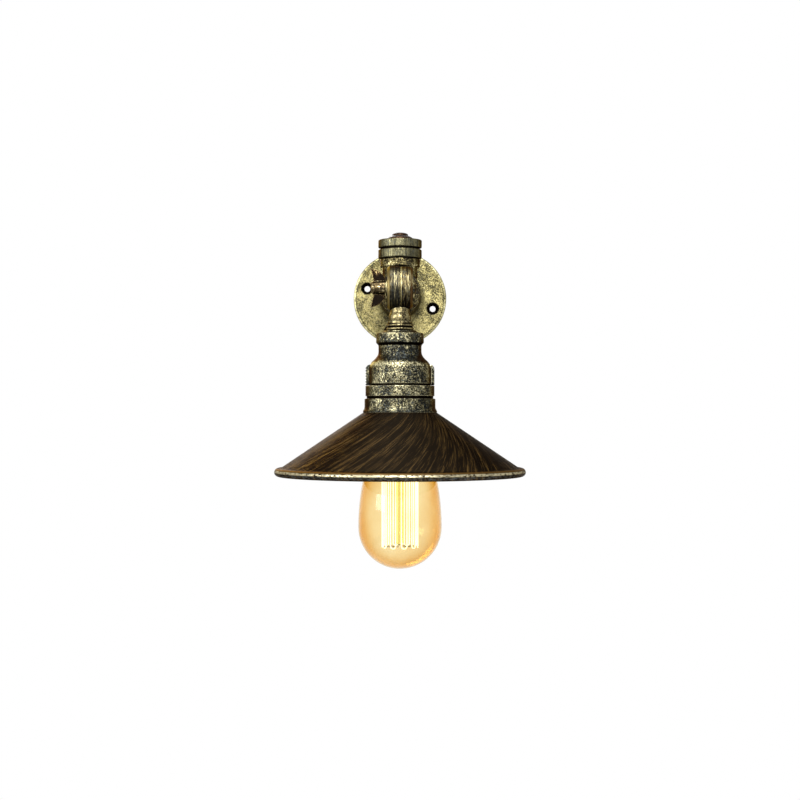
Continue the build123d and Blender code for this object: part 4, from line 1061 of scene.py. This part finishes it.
@dataclass
class Swivel:
    """Both halves of the swivel, and the bolt that clamps them."""

    finishes: Finishes
    radius: float = 17.0
    rear_radius: float = 16.2
    gap: float = 0.22
    face: float = 10.0
    edge: float = 2.4
    edge_step: float = 1.5
    shoulder: float = 12.25
    stem_start: float = 80.0
    stem_end: float = 96.0
    stem_radius: float = 7.9
    neck_top: float = 12.6
    neck_bottom: float = 27.3
    waist: float = 7.3
    bulge: float = 8.6
    thread: float = 10.65
    thread_depth: float = 0.9
    pitch: float = 2.7
    stub_end: float = 34.0
    bolt_radius: float = 3.0
    bolt_end: float = -20.8
    head_radius: float = 5.2
    head_height: float = 2.6

    def disc(self, side: int, radius: float) -> Object:
        """Turns one disc of the swivel, on the right for side 1 and the left for -1."""
        return rounded("disc", Lathe.PIN, [
            (0, side * self.gap, 0), (radius, side * self.gap, 0.35),
            (radius, side * (self.face - self.edge), 0.3), (radius - self.edge_step, side * self.face, 0.4),
            (0, side * self.face, 0)], 120)

    def half(self, piece: Object, side: int, radius: float, clearance: float) -> Object:
        """Frees a stem or neck from the other half's disc and gives it its own."""
        combined(piece, rod(Lathe.PIN, clearance, side * self.gap, -side * 14, 120), Join.CUT)
        return combined(piece, self.disc(side, radius), Join.FUSE)

    def stub(self) -> Object:
        """Turns the threaded stub under the neck, whose ridges show above the cup.

        Returns:
            The stub.
        """
        root, top = self.thread - self.thread_depth, self.neck_bottom
        corners: list[Corner] = [(0, top - 1.5, 0), (root - 0.3, top - 1.5, 0), (root - 0.3, top + 0.4, 0.1)]
        for start in (top + 0.5, top + 0.5 + self.pitch):
            corners += [(root, start, 0.1), (self.thread, start + 0.4, 0.4),
                        (self.thread, start + 1.6, 0.4), (root, start + 2.0, 0.1)]
        return rounded("stub", Lathe.LAMP, corners + [(root, self.stub_end, 0), (0, self.stub_end, 0)], 120)

    def rear(self) -> None:
        """Models the half that screws into the tee."""
        start, inner = self.stem_start, self.thread - 0.4
        stem = rounded("stem", Lathe.WALL, [
            (0, start - 10, 0), (inner, start - 10, 0), (inner, start, 0), (self.shoulder, start, 0.8),
            (self.shoulder, start + 4, 0.9), (self.stem_radius, start + 4.4, 1.4),
            (self.stem_radius, self.stem_end, 0), (0, self.stem_end, 0)], 96, 1.5)
        rear = settle(self.half(stem, 1, self.rear_radius, self.radius + 0.45), "swivel_rear")
        dress(rear, self.finishes.knuckle, Body.ARM, "cast_bronze_fitting", "arm_knuckle")
        refinish(rear, self.finishes.neck, lambda spot: off_pin(spot) > self.rear_radius + 0.15)

    def lower(self) -> None:
        """Models the half that carries the lamp."""
        waist, bulge, bottom = self.waist, self.bulge, self.neck_bottom
        neck = rounded("neck", Lathe.LAMP, [
            (0, self.neck_top, 0), (waist, self.neck_top, 0), (waist, 18.6, 2.0), (bulge, 21.4, 1.6),
            (bulge, 24.4, 1.8), (waist + 0.3, 26.8, 0.6), (waist + 0.3, bottom + 0.5, 0),
            (0, bottom + 0.5, 0)], 120, 0.8)
        lower = joined("swivel_lower", [self.half(neck, -1, self.radius, self.radius - 0.1), self.stub()])
        dress(lower, self.finishes.knuckle, Body.HEAD, "cast_bronze_fitting", "head_knuckle")
        refinish(lower, self.finishes.neck, lambda spot: off_pin(spot) > self.radius + 0.15)

    def build(self) -> None:
        """Models the two halves and the bolt."""
        self.rear()
        self.lower()
        bolt = turned("bolt_shape", Lathe.PIN, [
            (0, self.bolt_end), (self.bolt_radius - 0.4, self.bolt_end),
            (self.bolt_radius, self.bolt_end + 0.4), (self.bolt_radius, self.face),
            (self.head_radius, self.face)] + dome(self.head_radius, self.face, self.head_height, 8), 64)
        dress(bolt, self.finishes.knuckle, Body.ARM, "cast_bronze_fitting", "clamp_bolt")


@dataclass
class WingNut:
    """The wing nut: a tapered hub and two swept blades."""

    finishes: Finishes
    start: float = -11.2
    end: float = -22.4
    bore: float = 3.08
    hub: float = 5.4
    root: float = 3.4
    corner: Point = (-11.7, 8.5)
    bow: Point = (-15.6, 12.9)
    tip: Point = (-22.6, 15.2)
    foot: float = -19.8
    thickness: float = 2.8

    def blade(self, side: int) -> Object:
        """Extrudes one blade, the upper for side 1 and the lower for -1."""
        return prism("blade", softened([
            (self.foot, side * self.root, 0), (self.corner[0], side * self.root, 0),
            (self.corner[0], side * self.corner[1], 2.2), (self.bow[0], side * self.bow[1], 5.0),
            (self.tip[0], side * self.tip[1], 0.5)]), self.thickness, 0.6)

    def build(self) -> None:
        """Models the nut."""
        hub = rounded("hub", Lathe.PIN, [
            (self.bore, self.start, 0), (self.hub, self.start, 0.5), (self.hub - 0.3, self.end + 2.0, 0.9),
            (self.hub - 1.4, self.end, 0.9), (self.bore, self.end, 0)], 72)
        nut = joined("wing_nut_shape", [hub, self.blade(1), self.blade(-1)])
        cast(nut, 0.26, 2)
        dress(nut, self.finishes.nut, Body.NUT, "brown_iron", "wing_nut")
        refinish(nut, self.finishes.hub, lambda spot: off_pin(spot) < self.hub + 0.1)


@dataclass
class SocketCup:
    """The cup, cast like a reducing coupling, and the collar that screws on its spigot."""

    finishes: Finishes
    top: float = 32.7
    band_top: float = 35.0
    band_bottom: float = 42.2
    neck_top: float = 44.1
    neck_bottom: float = 50.7
    body_top: float = 60.6
    body_bottom: float = 73.48
    ring_top: float = 74.98
    ring_bottom: float = 83.08
    spigot_bottom: float = 90.78
    band_radius: float = 18.4
    neck_radius: float = 16.5
    body_radius: float = 24.05
    ring_radius: float = 26.45
    spigot_radius: float = 24.9
    groove_radius: float = 25.6
    bore: float = 21.5
    throat: float = 13.9
    collar_top: float = 84.98
    collar_bottom: float = 94.98
    collar_radius: float = 27.2
    collar_bore: float = 25.0
    shade_hole: float = 19.6
    rib_radius: float = 26.35
    rib_width: float = 5.4
    teeth: int = 6

    def rib(self, side: int) -> Object:
        """Extrudes one side rib, which is notched into teeth on the left.

        Args:
            side: 1 for the right, -1 for the left.

        Returns:
            The rib.
        """
        face, root = self.rib_radius, self.body_radius - 1.6
        top, end = self.body_top, self.ring_top - 0.35
        crest: list[Corner] = [(side * face, -end, 0.4)]
        pitch = (end - top - 1.1) / self.teeth
        for tooth in range(self.teeth if side < 0 else 0):
            low = -end + pitch * (tooth + 0.5)
            crest += [(side * face, low - 0.1 * pitch, 0.3), (side * (face - 0.9), low + 0.15 * pitch, 0.2),
                      (side * face, low + 0.4 * pitch, 0.3)]
        outline = softened([(side * root, -end, 0)] + crest + [
            (side * face, -(top + 1.1), 1.0), (side * (face - 1.2), -(top - 1.1), 1.0),
            (side * root, -(top - 1.9), 0)], 4)
        return prism("rib", outline, self.rib_width, 1.4 if side > 0 else 0.5)

    def cup(self) -> None:
        """Models the cup with its two ribs."""
        band, neck, body, lap = self.band_radius, self.neck_radius, self.body_radius, self.collar_top - 0.15
        cup = rounded("cup_body", Lathe.LAMP, [
            (PIPE_THREAD, self.top, 0.3), (12.6, self.top, 0.9), (13.6, self.band_top - 0.7, 0.8),
            (band - 0.3, self.band_top, 0.6), (band, self.band_bottom, 0.9), (neck, self.neck_top, 0.9),
            (neck, self.neck_bottom, 2.6), (neck + 2.0, self.neck_bottom + 3.2, 2.6),
            (body - 1.9, self.body_top - 3.4, 3.4), (body, self.body_top + 0.4, 3.2),
            (body, self.body_bottom, 0.3), (body - 1.0, self.body_bottom, 0.1),
            (body - 1.0, self.ring_top, 0.1), (self.ring_radius, self.ring_top, 0.7),
            (self.ring_radius, self.ring_bottom, 0.7), (self.groove_radius, self.ring_bottom, 0.1),
            (self.groove_radius, lap, 0.1), (self.spigot_radius, lap, 0.1),
            (self.spigot_radius, self.spigot_bottom, 0.3), (self.bore, self.spigot_bottom, 0.3),
            (self.bore, self.body_top, 2.0), (self.throat, self.neck_bottom, 2.0), (PIPE_THREAD, 46.0, 0.3),
        ], 150, 1.0)
        for side in (1, -1):
            combined(cup, self.rib(side), Join.FUSE)
        dress(settle(cup, "cup_casting"), self.finishes.cup, Body.HEAD, "cup_casting", "socket_cup")
        refinish(cup, self.finishes.rib,
                 lambda spot: abs(spot.x) > body + 0.1 and spot.z > -self.body_bottom - 0.3)

    def build(self) -> None:
        """Models the cup and the collar."""
        self.cup()
        radius, bottom, ledge = self.collar_radius, self.collar_bottom, self.spigot_bottom + 0.2
        collar = rounded("collar_ring", Lathe.LAMP, [
            (self.collar_bore, self.collar_top, 0.2), (radius, self.collar_top, 0.8),
            (radius, bottom - 2.6, 1.6), (radius + 1.3, bottom - 0.4, 0.9),
            (radius + 1.2, bottom + 0.65, 0.3),
            (self.shade_hole, bottom, 0.2), (self.shade_hole, ledge, 0.2), (self.collar_bore, ledge, 0.2),
        ], 160, 0.9)
        dress(collar, self.finishes.cup, Body.HEAD, "cup_casting", "shade_collar")


@dataclass
class ConeShade:
    """The spun conical shade with its rolled bead."""

    finishes: Finishes
    hole: float = 19.6
    collar: float = 27.2
    top: float = 94.98
    sheet: float = 1.0
    bead: float = 3.15
    bead_radius: float = 93.1
    bead_drop: float = 141.13
    entry: float = 116.0
    curl: float = 254.0
    curl_steps: int = 13

    def round_bead(self, turn: float) -> Point:
        """Gives the bead's point at a turn, in degrees up from its outermost point."""
        angle = math.radians(turn)
        return (self.bead_radius + self.bead * math.cos(angle), self.bead_drop - self.bead * math.sin(angle))

    def build(self) -> None:
        """Models the shade and lines its inside."""
        start, sheet = self.round_bead(self.entry), self.sheet
        slope = math.atan2(start[1] - self.top, start[0] - self.collar)
        points: list[Point] = [(self.hole, self.top), (self.collar, self.top)]
        points += [self.round_bead(self.entry - step * self.curl / self.curl_steps)
                   for step in range(self.curl_steps + 1)]
        points += [(start[0] - sheet * math.sin(slope), start[1] + sheet * math.cos(slope)),
                   (self.collar - sheet * math.tan(slope / 2), self.top + sheet),
                   (self.hole, self.top + sheet)]
        shade = turned("shade_cone", Lathe.LAMP, divided(points, 2.2), 288)
        dress(shade, self.finishes.shade, Body.HEAD, "shade_paint", "shade", crease=60)

        def within(spot: Vector) -> bool:
            """Says whether a spot lies on the inner skin of the cone."""
            radius = math.hypot(spot.x, spot.y + PIN_REACH)
            line = self.top + max(0.0, radius - self.collar) * math.tan(slope)
            return radius < start[0] - 0.5 and -spot.z > line + sheet * 0.5

        refinish(shade, self.finishes.lining, within)


@dataclass
class FilamentBulb:
    """The bulb's glass envelope."""

    finishes: Finishes
    seat: float = 11.7
    base: float = 100.78
    neck: float = 103.38
    waist: float = 13.7
    equator: float = 183.38
    radius: float = 32.0
    wall: float = 0.8
    flank_steps: int = 24
    ball_steps: int = 18

    def curve(self, skin: float) -> list[Point]:
        """Gives the envelope's line from its mouth to its tip.

        Args:
            skin: How far inside the outer surface it lies.

        Returns:
            The points of the line.
        """
        length, ball = self.equator - self.neck, self.radius - skin
        middle = (self.radius ** 2 - self.waist ** 2 - length ** 2) / (2 * (self.radius - self.waist))
        sweep = self.radius - middle
        points = [(self.seat - skin, self.base - 3.6), (self.seat - skin, self.base + 0.2)]
        for step in range(self.flank_steps + 1):
            drop = self.neck + length * step / self.flank_steps
            points.append((middle + math.sqrt(sweep ** 2 - (self.equator - drop) ** 2) - skin, drop))
        return points + dome(ball, self.equator, ball, self.ball_steps)[1:]

    def build(self) -> None:
        """Models the glass."""
        glass = turned("glass_envelope", Lathe.LAMP, self.curve(0) + self.curve(self.wall)[::-1], 128)
        dress(glass, self.finishes.glass, Body.BULB, "amber_glass", "bulb_glass", crease=80)


def finish_nodes(finishes: Finishes) -> None:
    """Gives each CAD node its finish, also where a modelled piece stands for it.

    Args:
        finishes: The materials.
    """
    by_slot = {
        "cast_bronze_flange": finishes.flange, "cast_bronze_fitting": finishes.knuckle,
        "aged_cap": finishes.cap, "brown_iron": finishes.brown, "cup_casting": finishes.cup,
        "shade_paint": finishes.shade, "galvanised_pipe": finishes.zinc, "brass_contact": finishes.brass,
        "bulb_cap_brass": finishes.brass, "holder_ceramic": finishes.ceramic,
        "clamp_plastic": finishes.phenolic, "insulator_glass": finishes.phenolic,
        "amber_glass": finishes.glass, "stem_glass": finishes.stem, "steel_wire": finishes.steel,
        "lead_silicone": finishes.silicone, "filament_glow": finishes.glow,
    }
    for subpart in frame["record"]["subparts"]:
        node = frame["nodes"][subpart["node"]]
        node.data.materials.clear()
        node.data.materials.append(by_slot[subpart["material_slot"]])


@dataclass
class Studio:
    """The floor, the lamps, the world and the camera, in metres and watts."""

    eye: Place = (0.0, -1.19, -0.0952)
    aim: Place = (0.0, -0.1, -0.09)
    lens: float = 63.45
    sensor: float = 36.0
    shift: float = 0.015
    ambient: float = 0.42
    middle: Place = (0.0, -0.1, -0.7)
    floor_radius: float = 3.0
    fade_start: float = 0.45
    fade_end: float = 0.9

    def floor(self) -> None:
        """Lays a pale floor that fades into the background and keeps the object's shadow."""
        deselect()
        bpy.ops.mesh.primitive_circle_add(
            vertices=96, radius=self.floor_radius, fill_type="NGON", location=self.middle)
        floor = settle(bpy.context.object, "studio_floor")
        graph = Graph("studio_floor")
        graph.paint({"Base Color": srgb(244, 243, 240), "Roughness": 0.9})
        away = graph.add(
            "ShaderNodeVectorMath", {0: graph.spot, 1: Vector(self.middle)}, operation="DISTANCE")
        mix = graph.add("ShaderNodeMixShader", {
            0: graph.span(away.outputs["Value"], self.fade_start, self.fade_end),
            1: graph.shader.outputs[0], 2: graph.add("ShaderNodeBsdfTransparent").outputs[0]})
        graph.feed(graph.output.inputs["Surface"], mix.outputs[0])
        floor.data.materials.append(graph.material)
        deselect()

    def world(self) -> None:
        """Makes a white background that metal and glass show too, and a softer light for the rest."""
        world = bpy.data.worlds.new("studio_world")
        bpy.context.scene.world = world
        world.use_nodes = True
        nodes = Nodes(world.node_tree)
        path = nodes.add("ShaderNodeLightPath").outputs
        seen = nodes.larger(path["Is Camera Ray"], path["Is Glossy Ray"])
        seen = nodes.larger(seen, path["Is Transmission Ray"])
        level = nodes.add("ShaderNodeMapRange", {"Value": seen, "To Min": self.ambient, "To Max": 1.0})
        back = world.node_tree.nodes["Background"]
        nodes.feed(back.inputs["Color"], (1, 1, 1, 1))
        nodes.feed(back.inputs["Strength"], level.outputs[0])

    def lamps(self) -> None:
        """Sets four soft lamps that face the light."""
        for name, place, side, power in (
                ("key_lamp", (0.05, -1.15, 0.42), 0.55, 13.0), ("top_lamp", (-0.1, -0.45, 0.8), 0.4, 7.0),
                ("left_lamp", (-0.95, -0.7, 0.2), 0.6, 8.0), ("back_lamp", (-0.5, 0.95, 0.5), 0.8, 12.0)):
            lamp = bpy.data.objects.new(name, bpy.data.lights.new(name, "AREA"))
            lamp.data.shape = "SQUARE"
            lamp.data.size = side
            lamp.data.energy = power
            lamp.location = place
            lamp.rotation_euler = (Vector(place) - Vector(self.aim)).to_track_quat("Z", "Y").to_euler()
            bpy.context.scene.collection.objects.link(lamp)

    def camera(self) -> None:
        """Sets the camera where the photograph was taken from."""
        camera = bpy.data.objects.new("camera", bpy.data.cameras.new("camera"))
        camera.data.lens = self.lens
        camera.data.sensor_width = self.sensor
        camera.data.shift_y = self.shift
        camera.location = self.eye
        camera.rotation_euler = (math.pi / 2, 0.0, 0.0)
        bpy.context.scene.collection.objects.link(camera)
        bpy.context.scene.camera = camera

    def build(self) -> None:
        """Sets up the whole studio."""
        self.camera()
        self.world()
        self.floor()
        self.lamps()
        bpy.context.scene.view_settings.view_transform = "Standard"


def main() -> None:
    """Builds the scene and reports each piece."""
    logging.basicConfig(level=logging.INFO, format="%(message)s")
    deselect()
    Studio().build()
    finishes = Finishes()
    finish_nodes(finishes)
    for assembly in (WallFlange, TeeFitting, BranchCap, Swivel, WingNut, SocketCup, ConeShade, FilamentBulb):
        assembly(finishes).build()


if __name__ == "__main__":
    main()
